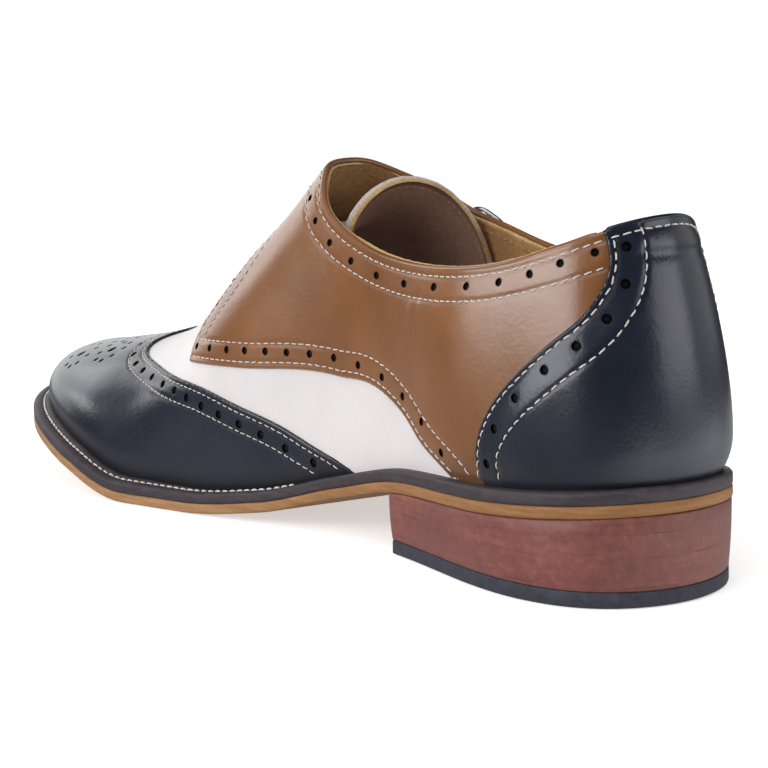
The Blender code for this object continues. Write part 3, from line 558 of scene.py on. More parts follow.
def panel(name, loop, offset, skin, material, rolled=(), seams=(), holes=(), lift=None, relief=None,
          lean=None, spacing=2.0, groove=0.15, tuck=TUCK, welt_shade_tone=1.0):
    """One leather panel: a closed sheet on the last with rounded edges, stitch grooves and punched holes."""
    loop = evenly(loop, 0.9, closed=True)
    area = (loop[:, 0] * np.roll(loop[:, 1], -1) - np.roll(loop[:, 0], -1) * loop[:, 1]).sum()
    if area < 0:
        loop = loop[::-1]
    tangent = unit(np.roll(loop, -1, 0) - np.roll(loop, 1, 0))
    inward = np.c_[-tangent[:, 1], tangent[:, 0]]
    border = tree_of(evenly(loop, 0.2, closed=True))
    points, edges = [loop], [(k, (k + 1) % len(loop)) for k in range(len(loop))]
    count = len(loop)
    loops = [np.arange(count)]
    taken = [loop]
    rim_rings = hole_rings(holes, 1.0, 14) if holes else []
    for ring in rim_rings:
        points.append(ring)
        edges += [(count + k, count + (k + 1) % len(ring)) for k in range(len(ring))]
        loops.append(np.arange(count, count + len(ring)))
        count += len(ring)
        taken.append(ring)
    extra = []
    for d in (0.25, 0.7, 1.4):
        ring = loop + inward * d
        away = distances(ring, border)[0]
        extra.append(ring[(away > 0.85 * d) & inside_loop(ring, loop)])
    if holes:
        for ring in hole_rings(holes, -0.45, 14):
            extra.append(ring)
    for line in seams:
        q = evenly(line, 0.9)
        tang = unit(np.gradient(q, axis=0))
        side = np.c_[-tang[:, 1], tang[:, 0]]
        for d in (-1.5, -0.7, 0.0, 0.7, 1.5):
            extra.append(q + side * d)
    extra = np.concatenate(extra)
    keep = inside_loop(extra, loop) & (distances(extra, border)[0] > 0.2)
    for ring in rim_rings:
        box = (abs(extra - ring.mean(0)) < 4).all(1) & keep
        if box.any():
            keep[np.where(box)[0][inside_loop(extra[box], ring)]] = False
    extra = extra[keep]
    # drop points that crowd each other
    thin, crowd = [], {}
    for p in np.concatenate([np.concatenate(taken), extra]).tolist():
        cell = (int(p[0] // 0.5), int(p[1] // 0.5))
        near = any((p[0] - o[0]) ** 2 + (p[1] - o[1]) ** 2 < 0.06
                   for i in (-1, 0, 1) for j in (-1, 0, 1) for o in crowd.get((cell[0] + i, cell[1] + j), ()))
        fixed = len(thin) < count
        if near and not fixed:
            continue
        crowd.setdefault(cell, []).append(p)
        thin.append(p)
    base = np.array(thin)
    lo, hi = loop.min(0), loop.max(0)
    xs = np.arange(lo[0], hi[0], spacing)
    ys = np.arange(lo[1], hi[1], spacing * 0.866)
    gx, gy = np.meshgrid(xs, ys, indexing="ij")
    gx = gx + (np.arange(len(ys)) % 2 * spacing / 2)[None, :]
    grid = np.c_[gx.ravel(), gy.ravel()]
    grid = grid[inside_loop(grid, loop)]
    grid = grid[distances(grid, tree_of(base))[0] > 0.6 * spacing]
    for ring in rim_rings:
        box = (abs(grid - ring.mean(0)) < 4).all(1)
        if box.any():
            out = np.ones(len(grid), bool)
            out[np.where(box)[0][inside_loop(grid[box], ring)]] = False
            grid = grid[out]
    every = np.concatenate([base, grid])
    found = geometry.delaunay_2d_cdt([Vector(p) for p in every.tolist()], edges, [], 0, 1e-6)
    q = np.array([v[:] for v in found[0]])
    tri = np.array([f for f in found[2] if len(f) == 3])
    to_new = {}
    for new, olds in enumerate(found[3]):
        for o in olds:
            to_new[o] = new
    mid = q[tri].mean(1)
    good = inside_loop(mid, loop)
    for ring in rim_rings:
        box = (abs(mid - ring.mean(0)) < 4).all(1) & good
        if box.any():
            good[np.where(box)[0][inside_loop(mid[box], ring)]] = False
    tri = tri[good]
    p, n = surface(q)
    off = np.full(len(q), float(offset))
    slope = np.zeros((len(q), 3))
    edge = np.zeros(len(q))
    seam = np.zeros(len(q))
    punched = np.zeros(len(q))
    for bend in (lift, relief):
        if bend is None:
            continue
        off += bend(p)
        e = 0.25
        slope += np.stack([(bend(p + np.eye(3)[k] * e) - bend(p - np.eye(3)[k] * e)) / (2 * e) for k in range(3)], 1)
    if lean is not None:
        slope += lean(p)
    foot = near_welt(p)
    off -= tuck * foot ** 2
    slope += (2 * tuck * foot / TUCK_RISE)[:, None] * (0.0, 0.0, 1.0)
    for line, radius, bead in rolled:
        tree = tree_of(surface(evenly(line, 0.25))[0])
        d, _, at = distances(p, tree)
        x = np.clip(1 - d / radius, 0, 0.985)
        off -= radius * (1 - np.sqrt(1 - x * x))
        slope += (x / np.sqrt(1 - x * x))[:, None] * unit(p - at) * (d < radius)[:, None]
        ridge = bead * np.exp(-((d - 1.05) / 0.55) ** 2)
        off += ridge
        slope -= (ridge * 2 * (d - 1.05) / 0.55 ** 2)[:, None] * unit(p - at)
        edge = np.maximum(edge, np.exp(-(d / 0.4) ** 2))
    if seams:
        tree = tree_of(np.concatenate([surface(evenly(line, 0.25))[0] for line in seams]))
        d, _, at = distances(p, tree)
        w = 0.75
        off -= groove * np.exp(-(d / w) ** 2)
        slope += (2 * d / w ** 2 * groove * np.exp(-(d / w) ** 2))[:, None] * unit(p - at)
        seam = np.exp(-(d / 0.8) ** 2)
    if holes:
        centre = surface(np.array([(x, y) for x, y, _ in holes]))[0]
        radius = np.array([r for _, _, r in holes])
        d, k, at = distances(p, tree_of(centre))
        x = np.clip(d - radius[k], 0, None)
        w = 0.3
        off -= 0.06 * np.exp(-(x / w) ** 2)
        slope += (2 * x / w ** 2 * 0.06 * np.exp(-(x / w) ** 2))[:, None] * unit(p - at)
        # painted shade: the mask for the hole walls and rims that take the near-black hole colour
        punched = np.exp(-(x / 0.16) ** 2)
        for ring in loops[1:]:
            punched[[to_new[int(k)] for k in ring]] = 1.0
    slope -= (slope * n).sum(1, keepdims=True) * n
    shade = unit(n - slope)
    outer = p + n * off[:, None]
    base_off = offset + (lift(p) if lift is not None else 0.0)
    inner = p + n * np.reshape(base_off - skin - tuck * foot ** 2, (-1, 1))
    m = len(q)
    faces, normals = [], []
    # winding follows the outward normal
    cross = np.cross(outer[tri[:, 1]] - outer[tri[:, 0]], outer[tri[:, 2]] - outer[tri[:, 0]])
    flip = (cross * n[tri].mean(1)).sum(1) < 0
    tri[flip] = tri[flip][:, ::-1]
    for f in tri:
        faces.append(tuple(f))
        normals += [shade[v] for v in f]
    for f in tri[:, ::-1]:
        faces.append(tuple(f + m))
        normals += [-n[v] for v in f]
    for ring in loops:
        ids = [to_new[int(k)] for k in ring]
        pts = outer[ids]
        along = unit(np.roll(pts, -1, 0) - np.roll(pts, 1, 0))
        wall = unit(np.cross(along, n[ids]))
        centre = pts.mean(0)
        if ring is not loops[0] and ((wall * (centre - pts)).sum() < 0):
            wall = -wall
        if ring is loops[0]:
            probe = q[ids] - inward * 0.05
            lean = surface(probe)[0] - p[ids]
            if (wall * lean).sum() < 0:
                wall = -wall
        for k in range(len(ids)):
            a, b = ids[k], ids[(k + 1) % len(ids)]
            quad = (a, b, b + m, a + m)
            fn = np.cross(outer[b] - outer[a], inner[a] - outer[a])
            kk = (k + 1) % len(ids)
            if fn @ wall[k] < 0:
                quad = (b, a, a + m, b + m)
                normals += [wall[kk], wall[k], wall[k], wall[kk]]
            else:
                normals += [wall[k], wall[kk], wall[kk], wall[k]]
            faces.append(quad)
    both = np.concatenate([outer, inner])
    low_punched = np.zeros(m)
    for ring in loops[1:]:
        low_punched[[to_new[int(k)] for k in ring]] = 1.0
    # foot carries the painted shade above the welt (and extra roughness); punched carries the painted shade in the
    # holes
    return piece(name, both, faces, material, normals,
                 {"edge": np.r_[edge, 1.0 - low_punched], "seam": np.r_[seam, np.zeros(m)],
                  "punched": np.r_[punched, low_punched], "foot": np.r_[foot, foot] * welt_shade_tone})


def hole_shade_discs(name, groups, material):
    """Dark discs under the punched holes: painted shade where the holes show only shadow."""
    points, faces = [], []
    for holes, offset, lift in groups:
        rings = hole_rings(holes, 1.2, 12)
        for (x, y, r), ring in zip(holes, rings):
            q = np.r_[[(x, y)], ring]
            p, n = surface(q)
            off = offset + (lift(p) if lift is not None else 0.0) - 0.6 - 0.1 * (np.arange(13) == 0) - TUCK * near_welt(p) ** 2
            top = p + n * np.reshape(off, (-1, 1))
            low = p + n * (np.reshape(off, (-1, 1)) - 0.25)
            k = len(points)
            points += list(top) + list(low)
            for j in range(12):
                a, b = k + 1 + j, k + 1 + (j + 1) % 12
                faces.append((k, a, b))
                faces.append((k + 13, b + 13, a + 13))
                faces.append((a, a + 13, b + 13, b))
    return piece(name, points, faces, material)


THREAD_ROWS = np.array([-1.0, -0.86, -0.45, 0.0, 0.45, 0.86, 1.0])


def stitch_rows(name, rows, material, pitch=2.75, length=2.15, width=0.72):
    """Thread stitches sunk at both ends; rows are (points, normals) lines in space."""
    points, faces = [], []
    sides = 7
    turn = np.arange(sides) * 2 * math.pi / sides
    for line, normal in rows:
        run = np.r_[0, np.cumsum(np.linalg.norm(np.diff(line, axis=0), axis=1))]
        n = max(1, int(round(run[-1] / pitch)))
        step = run[-1] / n
        for k in range(n):
            c = (k + 0.5) * step
            jitter = RNG.normal(0, 1, 3)
            half = length * step / pitch * 0.5 * (1 + 0.05 * jitter[0])
            at = np.clip(c + THREAD_ROWS * half, 0, run[-1])
            spot = np.stack([np.interp(at, run, line[:, i]) for i in range(3)], 1)
            up = unit(np.stack([np.interp(at, run, normal[:, i]) for i in range(3)], 1))
            along = unit(np.gradient(spot, axis=0) + 1e-9)
            side = unit(np.cross(up, along))
            spot = spot + side * (THREAD_ROWS * 0.07 * jitter[1])[:, None]
            fat = width / 2 * np.sqrt(np.clip(1 - (abs(THREAD_ROWS) * 0.97) ** 5, 0.02, 1))
            rise = 0.16 - 0.34 * THREAD_ROWS ** 4 + 0.02 * jitter[2]
            ring = (spot[:, None] + up[:, None] * rise[:, None, None]
                    + fat[:, None, None] * (np.cos(turn)[None, :, None] * side[:, None]
                                            + 0.75 * np.sin(turn)[None, :, None] * up[:, None]))
            base = len(points)
            rows_n = len(THREAD_ROWS)
            points += list(ring.reshape(-1, 3))
            for i in range(rows_n - 1):
                for j in range(sides):
                    q = (j + 1) % sides
                    faces.append((base + i * sides + j, base + i * sides + q,
                                  base + (i + 1) * sides + q, base + (i + 1) * sides + j))
            faces.append(tuple(base + j for j in range(sides - 1, -1, -1)))
            faces.append(tuple(base + (rows_n - 1) * sides + j for j in range(sides)))
    return piece(name, points, faces, material)


def row_on(line, offset, lift=None):
    """Stitch line on a panel as points and normals in space."""
    p, n = surface(evenly(line, 0.5))
    off = offset + (lift(p) if lift is not None else 0.0) - TUCK * near_welt(p) ** 2
    return p + n * np.reshape(off - 0.12, (-1, 1)), n


def grid_faces(rows, cols, closed=False, base=0, flip=False):
    faces = []
    for i in range(rows - 1):
        for j in range(cols if closed else cols - 1):
            k = (j + 1) % cols
            f = (base + i * cols + j, base + i * cols + k, base + (i + 1) * cols + k, base + (i + 1) * cols + j)
            faces.append(f[::-1] if flip else f)
    return faces


def rod(name, path, normals, radius, closed, material, sides=18, wide=1.0):
    n = len(path)
    tangent = unit(np.roll(path, -1, 0) - np.roll(path, 1, 0)) if closed else unit(np.gradient(path, axis=0))
    side_v = unit(np.cross(tangent, normals))
    lift_v = unit(np.cross(side_v, tangent))
    turn = np.arange(sides) * 2 * math.pi / sides
    r = np.reshape(radius, (-1, 1, 1)) if np.ndim(radius) else radius
    points = (path[:, None] + r * (wide * np.cos(turn)[None, :, None] * side_v[:, None]
                                   + np.sin(turn)[None, :, None] * lift_v[:, None])).reshape(-1, 3)
    faces = grid_faces(n + 1 if closed else n, sides, closed=True)
    if closed:
        faces = [tuple(v % (n * sides) for v in f) for f in faces]
    else:
        faces.append(tuple(range(sides - 1, -1, -1)))
        faces.append(tuple((n - 1) * sides + q for q in range(sides)))
    return piece(name, points, faces, material)


# ------------------------------------------------------------------ materials


def lin(r, g, b):
    def one(c):
        c /= 255.0
        return c / 12.92 if c <= 0.04045 else ((c + 0.055) / 1.055) ** 2.4
    return (one(r), one(g), one(b), 1.0)


class Net:
    def __init__(self, name):
        self.mat = bpy.data.materials.new(name)
        self.mat.use_nodes = True
        self.tree = self.mat.node_tree
        self.shader = self.tree.nodes["Principled BSDF"]
        self.coord = self.tree.nodes.new("ShaderNodeTexCoord").outputs["Object"]

    def node(self, kind, **settings):
        n = self.tree.nodes.new(kind)
        for k, v in settings.items():
            if hasattr(n, k):
                setattr(n, k, v)
            else:
                n.inputs[k].default_value = v
        return n

    def link(self, a, b):
        self.tree.links.new(a, b)

    def mapped(self, scale, rotation=(0, 0, 0)):
        n = self.node("ShaderNodeMapping")
        n.inputs["Scale"].default_value = scale
        n.inputs["Rotation"].default_value = rotation
        self.link(self.coord, n.inputs["Vector"])
        return n.outputs["Vector"]

    def noise(self, scale, detail=4.0, rough=0.55, vector=None):
        n = self.node("ShaderNodeTexNoise")
        n.inputs["Scale"].default_value = scale
        n.inputs["Detail"].default_value = detail
        n.inputs["Roughness"].default_value = rough
        self.link(vector if vector is not None else self.coord, n.inputs["Vector"])
        return n.outputs["Fac"]

    def cells(self, scale, vector=None, feature="F1"):
        n = self.node("ShaderNodeTexVoronoi", feature=feature)
        n.inputs["Scale"].default_value = scale
        self.link(vector if vector is not None else self.coord, n.inputs["Vector"])
        return n.outputs["Distance"]

    def ramp(self, fac, stops):
        n = self.node("ShaderNodeValToRGB")
        e = n.color_ramp.elements
        while len(e) < len(stops):
            e.new(0.5)
        for k, (pos, colour) in enumerate(stops):
            e[k].position = pos
            e[k].color = colour
        self.link(fac, n.inputs["Fac"])
        return n.outputs["Color"]

    def span(self, fac, a, b, lo=0.0, hi=1.0):
        n = self.node("ShaderNodeMapRange")
        n.inputs["From Min"].default_value = lo
        n.inputs["From Max"].default_value = hi
        n.inputs["To Min"].default_value = a
        n.inputs["To Max"].default_value = b
        self.link(fac, n.inputs["Value"])
        return n.outputs["Result"]

    def mix(self, fac, a, b, blend="MIX"):
        n = self.node("ShaderNodeMix", data_type="RGBA", blend_type=blend)
        for value, socket in ((fac, n.inputs[0]), (a, n.inputs[6]), (b, n.inputs[7])):
            if hasattr(value, "is_linked"):
                self.link(value, socket)
            else:
                socket.default_value = value
        return n.outputs[2]

    def math(self, op, a, b):
        n = self.node("ShaderNodeMath", operation=op)
        for value, socket in ((a, n.inputs[0]), (b, n.inputs[1])):
            if hasattr(value, "is_linked"):
                self.link(value, socket)
            else:
                socket.default_value = value
        return n.outputs[0]

    def attribute(self, name):
        n = self.node("ShaderNodeAttribute", attribute_name=name)
        return n.outputs["Fac"]

    def bump(self, height, strength, distance, normal=None):
        n = self.node("ShaderNodeBump")
        n.inputs["Strength"].default_value = strength
        n.inputs["Distance"].default_value = distance
        self.link(height, n.inputs["Height"])
        if normal is not None:
            self.link(normal, n.inputs["Normal"])
        return n.outputs["Normal"]

    def finish(self, colour, rough=None, normal=None, **sockets):
        self.link(colour, self.shader.inputs["Base Color"])
        if rough is not None:
            self.link(rough, self.shader.inputs["Roughness"])
        if normal is not None:
            self.link(normal, self.shader.inputs["Normal"])
        for k, v in sockets.items():
            self.shader.inputs[k.replace("_", " ")].default_value = v
        return self.mat


def leather(name, deep, mid, light, edge, hole_shade, rough=(0.30, 0.42), grain=0.10, coat=0.25, coat_rough=0.12, specular=0.5,
            welt_shade=0.5, tint=(1.0, 1.0, 1.0, 1.0)):
    """Smooth finished leather: slow tone drift, fine pores, dark cut edges, painted shade in a dark line above the welt
    and inside the punched holes.
    """
    net = Net(name)
    drift = net.noise(38.0, 3.0, 0.5)
    fine = net.noise(1500.0, 3.0, 0.6)
    tone = net.math("ADD", net.math("MULTIPLY", drift, 0.8), net.math("MULTIPLY", fine, 0.2))
    colour = net.ramp(tone, [(0.30, deep), (0.50, mid), (0.70, light)])
    seam = net.span(net.attribute("seam"), 0.0, 0.45)
    colour = net.mix(seam, colour, deep)
    # painted shade: the colour darkens towards the welt where the wall tucks in, scaled by the welt-shade strength
    foot = net.attribute("foot") if welt_shade else None
    if welt_shade:
        colour = net.mix(net.span(foot, 0.0, welt_shade, 0.1, 0.85), colour, tuple(0.3 * c for c in deep[:3]) + (1.0,))
    colour = net.mix(net.span(net.attribute("edge"), 0.0, 0.92, 0.25, 0.9), colour, edge)
    # painted shade: hole walls and rims go to the near-black hole colour, with less coat and specular
    inside = net.attribute("punched")
    colour = net.mix(net.span(inside, 0.0, 0.95, 0.3, 0.9), colour, hole_shade)
    net.link(net.span(inside, coat, 0.0, 0.3, 0.9), net.shader.inputs["Coat Weight"])
    net.link(net.span(inside, specular, 0.0, 0.3, 0.9), net.shader.inputs["Specular IOR Level"])
    pores = net.cells(1050.0)
    wave = net.noise(420.0, 2.0, 0.5)
    roll = net.noise(120.0, 2.0, 0.5)
    height = net.math("ADD", net.math("MULTIPLY", pores, 0.5), net.math("MULTIPLY", wave, 0.9))
    height = net.math("ADD", height, net.math("MULTIPLY", roll, 2.2))
    normal = net.bump(height, grain, 0.0006)
    roughness = net.span(net.math("ADD", net.math("MULTIPLY", drift, 0.5), net.math("MULTIPLY", fine, 0.5)),
                         rough[0], rough[1], 0.3, 0.7)
    if welt_shade:
        roughness = net.math("ADD", roughness, net.math("MULTIPLY", foot, 0.3 * welt_shade))
    return net.finish(colour, roughness, normal, Coat_Roughness=coat_rough, Specular_Tint=tint)


def raw_leather(name, deep, mid, light, scale=900.0, bump=0.5, rough=(0.75, 0.95), glow=0.0):
    """Unfinished or suede-like side of leather; glow makes it emit light, a painted glow where no lamp reaches."""
    net = Net(name)
    fuzz = net.noise(scale, 5.0, 0.7)
    drift = net.noise(90.0, 3.0, 0.5)
    tone = net.math("ADD", net.math("MULTIPLY", fuzz, 0.65), net.math("MULTIPLY", drift, 0.35))
    colour = net.ramp(tone, [(0.32, deep), (0.5, mid), (0.68, light)])
    normal = net.bump(fuzz, bump, 0.0008)
    if glow:
        net.link(colour, net.shader.inputs["Emission Color"])
    return net.finish(colour, net.span(fuzz, rough[0], rough[1], 0.3, 0.7), normal, Specular_IOR_Level=0.25, Emission_Strength=glow)


# the fifth colour of each leather is painted shade inside the punched holes
BROWN = leather("brown_leather", lin(115, 71, 34), lin(127, 80, 41), lin(138, 90, 50), lin(152, 110, 68), lin(14, 10, 9),
                rough=(0.29, 0.39), grain=0.10, coat=0.6, coat_rough=0.26, welt_shade=0.5)
NAVY = leather("navy_leather", lin(19, 24, 36), lin(24, 30, 43), lin(30, 36, 50), lin(16, 18, 25), lin(6, 6, 8),
               rough=(0.25, 0.34), grain=0.08, coat=0.15, coat_rough=0.22, specular=0.48, welt_shade=0.9, tint=(0.95, 0.92, 1.0, 1.0))
WHITE = leather("white_leather", lin(210, 205, 206), lin(218, 213, 214), lin(225, 220, 221), lin(190, 176, 165), lin(90, 80, 74),
                rough=(0.42, 0.55), grain=0.06, coat=0.05, coat_rough=0.3, welt_shade=0.0)
LINING = raw_leather("lining_leather", lin(134, 98, 62), lin(162, 122, 82), lin(184, 143, 98), 700.0, 0.3)
# painted light: the tongue lining glows a little to lift it out of the shade inside the shoe
TONGUE_LINING = raw_leather("tongue_lining", lin(112, 86, 73), lin(124, 97, 84), lin(136, 108, 95), 800.0, 0.25, glow=0.10)
RAW_EDGE = raw_leather("raw_edge", lin(176, 136, 84), lin(208, 172, 120), lin(228, 200, 154), 1500.0, 0.9)
TONGUE_EDGE = raw_leather("tongue_edge", lin(176, 164, 156), lin(206, 196, 190), lin(226, 218, 214), 1500.0, 0.9)
THREAD = raw_leather("thread", lin(206, 196, 188), lin(226, 218, 211), lin(240, 234, 228), 2600.0, 0.6, (0.6, 0.8))
# painted shade: near-black discs under the holes
PAINTED_HOLE_SHADE = raw_leather("perforation_shade_discs", lin(10, 9, 10), lin(18, 15, 15), lin(28, 23, 22), 1200.0, 0.5)


def sole_material(name, deep, mid, light, stretch_xyz, rough, bump, specular=0.3, coat=0.0, heel=None):
    """Edge-cut sole leather or stacked leather with fine drawn-out grain."""
    net = Net(name)
    vec = net.mapped(stretch_xyz, (0.0, 0.05, 0.0))
    streak = net.noise(1.0, 6.0, 0.62, vec)
    speck = net.noise(1300.0, 3.0, 0.6)
    drift = net.noise(45.0, 2.0, 0.5)
    tone = net.math("ADD", net.math("MULTIPLY", streak, 0.6),
                    net.math("ADD", net.math("MULTIPLY", speck, 0.2), net.math("MULTIPLY", drift, 0.2)))
    colour = net.ramp(tone, [(0.36, deep), (0.5, mid), (0.64, light)])
    if heel:
        parts = net.node("ShaderNodeSeparateXYZ")
        net.link(net.coord, parts.inputs[0])
        colour = net.mix(net.span(parts.outputs["X"], 0.9, 0.0, -0.07, 0.02), colour,
                         net.ramp(tone, [(0.36, heel[0]), (0.5, heel[1]), (0.64, heel[2])]))
    normal = net.bump(net.math("ADD", streak, net.math("MULTIPLY", speck, 0.5)), bump, 0.0004)
    return net.finish(colour, net.span(tone, rough[0], rough[1], 0.35, 0.65), normal,
                      Specular_IOR_Level=specular, Coat_Weight=coat, Coat_Roughness=0.3)


SOLE_TAN = sole_material("sole_leather", lin(142, 103, 66), lin(160, 120, 81), lin(178, 139, 100),
                         (60.0, 60.0, 900.0), (0.5, 0.7), 0.18, heel=(lin(124, 84, 46), lin(141, 98, 58), lin(158, 113, 72)))


def stacked(name, deep, mid, light, line):
    """Heel of stained leather lifts: fine mottling and thin broken lines between the lifts."""
    net = Net(name)
    mottle = net.noise(420.0, 5.0, 0.68)
    speck = net.noise(1700.0, 3.0, 0.6)
    drift = net.noise(60.0, 3.0, 0.5)
    streak = net.noise(1.0, 5.0, 0.6, net.mapped((45.0, 45.0, 700.0), (0.0, 0.06, 0.0)))
    tone = net.math("ADD", net.math("ADD", net.math("MULTIPLY", mottle, 0.36), net.math("MULTIPLY", speck, 0.18)),
                    net.math("ADD", net.math("MULTIPLY", drift, 0.24), net.math("MULTIPLY", streak, 0.22)))
    colour = net.ramp(tone, [(0.38, deep), (0.5, mid), (0.62, light)])
    parts = net.node("ShaderNodeSeparateXYZ")
    net.link(net.coord, parts.inputs[0])
    wander = net.math("MULTIPLY", net.noise(30.0, 2.0, 0.5), 0.0012)
    height = net.span(net.math("ADD", parts.outputs["Z"], wander), 0.0, 1.0, 0.0036, 0.0216)
    off, on = (0, 0, 0, 1), (1, 1, 1, 1)
    joints = net.ramp(height, [(0.0, off), (0.085, off), (0.095, on), (0.105, off), (0.455, off), (0.465, on), (0.478, off),
                               (0.765, off), (0.775, on), (0.785, off)])
    broken = net.span(net.noise(55.0, 2.0, 0.5), 0.0, 0.75, 0.47, 0.60)
    seam = net.math("MULTIPLY", joints, broken)
    colour = net.mix(seam, colour, line)
    height = net.math("SUBTRACT", net.math("ADD", mottle, net.math("MULTIPLY", speck, 0.5)), net.math("MULTIPLY", seam, 2.0))
    normal = net.bump(height, 0.12, 0.0003)
    return net.finish(colour, net.span(tone, 0.42, 0.58, 0.4, 0.6), normal, Specular_IOR_Level=0.4)


STACK = stacked("heel_leather", lin(100, 57, 52), lin(120, 69, 63), lin(138, 86, 77), lin(52, 28, 27))
WELT_DARK = sole_material("welt_leather", lin(45, 39, 44), lin(57, 50, 55), lin(73, 66, 72),
                          (200.0, 200.0, 900.0), (0.45, 0.65), 0.2, 0.35)
RUBBER = sole_material("rubber", lin(40, 40, 50), lin(52, 53, 64), lin(64, 65, 77),
                       (400.0, 400.0, 500.0), (0.55, 0.75), 0.12, 0.3)


def metal(name):
    net = Net(name)
    wear = net.noise(300.0, 4.0, 0.6)
    scratch = net.noise(1.0, 4.0, 0.6, net.mapped((300.0, 300.0, 3000.0)))
    colour = net.ramp(wear, [(0.35, (0.62, 0.62, 0.63, 1)), (0.65, (0.80, 0.80, 0.81, 1))])
    normal = net.bump(scratch, 0.05, 0.0002)
    return net.finish(colour, net.span(wear, 0.12, 0.28, 0.3, 0.7), normal, Metallic=1.0)


SILVER = metal("silver_metal")

# --------------------------------------------------------- lines of the panels
# collar edge, front -> inner side -> back -> outer side -> front
front_place = float(place_of_s(COLLAR_FRONT_S))
front_inner = float(t_of_place(front_place, 1))
front_outer = float(t_of_place(front_place, -1))
_edge = [(front_inner, 1.0)]
for _s, _y, _z in COLLAR:
    _t, _h = nearest((_s, _y, _z), 1 if _y > 2.0 or (_s < 60 and _y > 0) else -1)
    _edge.append((_t if _t < 0.5 else _t - 1.0, _h))
_edge.append((front_outer - 1.0, 1.0))
_edge = np.array(_edge)
_edge_points = last_form(_edge[:, 0], _edge[:, 1])
_edge_run = np.r_[0.0, np.cumsum(np.linalg.norm(np.diff(_edge_points, axis=0), axis=1))]
collar = spline_rows(_edge_run / _edge_run[-1], _edge)
COLLAR_V = np.linspace(0, 1, 1601)
COLLAR_TH = collar(COLLAR_V)
COLLAR_TH[:, 1] = np.minimum(COLLAR_TH[:, 1], 1.0)
COLLAR_Q = pattern(COLLAR_TH[:, 0], COLLAR_TH[:, 1])


def collar_between(v0, v1):
    lo, hi = min(v0, v1), max(v0, v1)
    q = COLLAR_Q[(COLLAR_V >= lo) & (COLLAR_V <= hi)]
    return q if v0 < v1 else q[::-1]


def collar_v_near(point, lo=0.0, hi=1.0):
    d = np.linalg.norm(COLLAR_Q - np.asarray(point), axis=1)
    d[(COLLAR_V < lo) | (COLLAR_V > hi)] = 1e9
    return float(COLLAR_V[int(np.argmin(d))])


def to_feather(q):
    """A line carried on to the welt, with the section where it meets it."""
    t = float(inverse(q[-1:])[0][0])
    return np.r_[q[:-1], pattern([t], [0.0])], t


wing_m, wing_tm = to_feather(curve(WING_EDGE))
wing_l, wing_tl = to_feather(mirrored(wing_m))
low_m, low_tm = to_feather(curve(QUARTER_LOW))
low_l, low_tl = to_feather(mirrored(low_m))
cnt_m, cnt_tm = to_feather(curve(COUNTER_EDGE))
v_cnt_m = collar_v_near(cnt_m[0], 0.0, 0.5)
cnt_m[0] = collar_between(v_cnt_m, 1.0)[0]
cnt_l = mirrored(cnt_m)
forward = 1.0 if surface(parallel(cnt_l, 2.0))[0][:, 0].mean() > surface(cnt_l)[0][:, 0].mean() else -1.0
cnt_l, cnt_tl = to_feather(parallel(cnt_l, 12.0 * forward))
v_cnt_l = collar_v_near(cnt_l[0], 0.5, 1.0)
cnt_l[0] = collar_between(v_cnt_l, 1.0)[0]

# strap: the inner quarter runs on over the instep to its tip on the outer side
strap_low = np.concatenate([pattern([t], [h]) for t, h in (nearest(r[3:], -1) for r in STRAP_ROWS[1:])])
strap_up = np.concatenate([pattern([t], [h]) for t, h in (nearest(r[:3], -1) for r in STRAP_ROWS[1:])])
strap_tip = (strap_low[-1] + strap_up[-1]) / 2 + unit((strap_low[-1] - strap_low[-2])) * 4.0
front_m = curve(QUARTER_FRONT + strap_low[:-1].tolist() + [strap_low[-1].tolist(), strap_tip.tolist(), strap_up[-1].tolist()]
                + strap_up[:-1][::-1].tolist() + [pattern([front_outer], [1.0])[0].tolist()])
v_front_m = 0.012
top_m = collar_between(v_front_m, v_cnt_m)
front_m = np.r_[front_m[:-1], top_m[:1]]

# ------------------------------------------------------------------ the panels


def counter_side(p):
    """The quarters thin out where they go under the heel counter."""
    return -1.05 * smooth(72.0 - p[:, 0], 0.0, 42.0)


def strap_lift(p):
    """The strap climbs over the outer quarter."""
    over = smooth(-p[:, 1], -6.0, 16.0) * smooth(p[:, 2], 48.0, 60.0) * smooth(p[:, 0], 60.0, 84.0)
    return counter_side(p) * (1 - over) + 1.45 * over


def waist_turn(p):
    """Shading normals of the inner wall lean faster from the waist towards the heel; the wall itself does not turn."""
    turn = smooth(p[:, 0], 72.0, 42.0) * (1 - smooth(p[:, 0], 38.0, 12.0)) * (p[:, 1] > 0)
    return np.c_[np.tan(np.radians(15.0) * turn), np.zeros(len(p)), np.zeros(len(p))]


def with_stitch(line, sign):
    return parallel(line, sign * STITCH_OUT), parallel(line, sign * STITCH_IN)


def punched(places, radius):
    return [(float(x), float(y), radius) for x, y in places]


def punched_pair(places, radius):
    """Holes of the inner side and their mates on the outer side."""
    return punched(places, radius) + punched(mirrored(np.array(places)), radius)


def pick_side(line, loop):
    """+1 if the left of a line is inside a loop."""
    test = parallel(line, 2.0)
    return 1 if inside_loop(test, evenly(loop, 1.0, closed=True)).mean() > 0.5 else -1


def run_on(line, drop=10, reach=30.0):
    """A line carried straight on past its end."""
    line = line[:-drop]          # the end of a parallel line is not true
    ahead = unit(line[-1] - line[-14])
    return np.r_[line, line[-1] + ahead * np.arange(0.6, reach, 0.6)[:, None]]


def above_welt(line, drop=10, h=0.012):
    """Part of a line that is clear of the welt."""
    return cut_between(run_on(line, drop), inverse(run_on(line, drop))[1] > h)


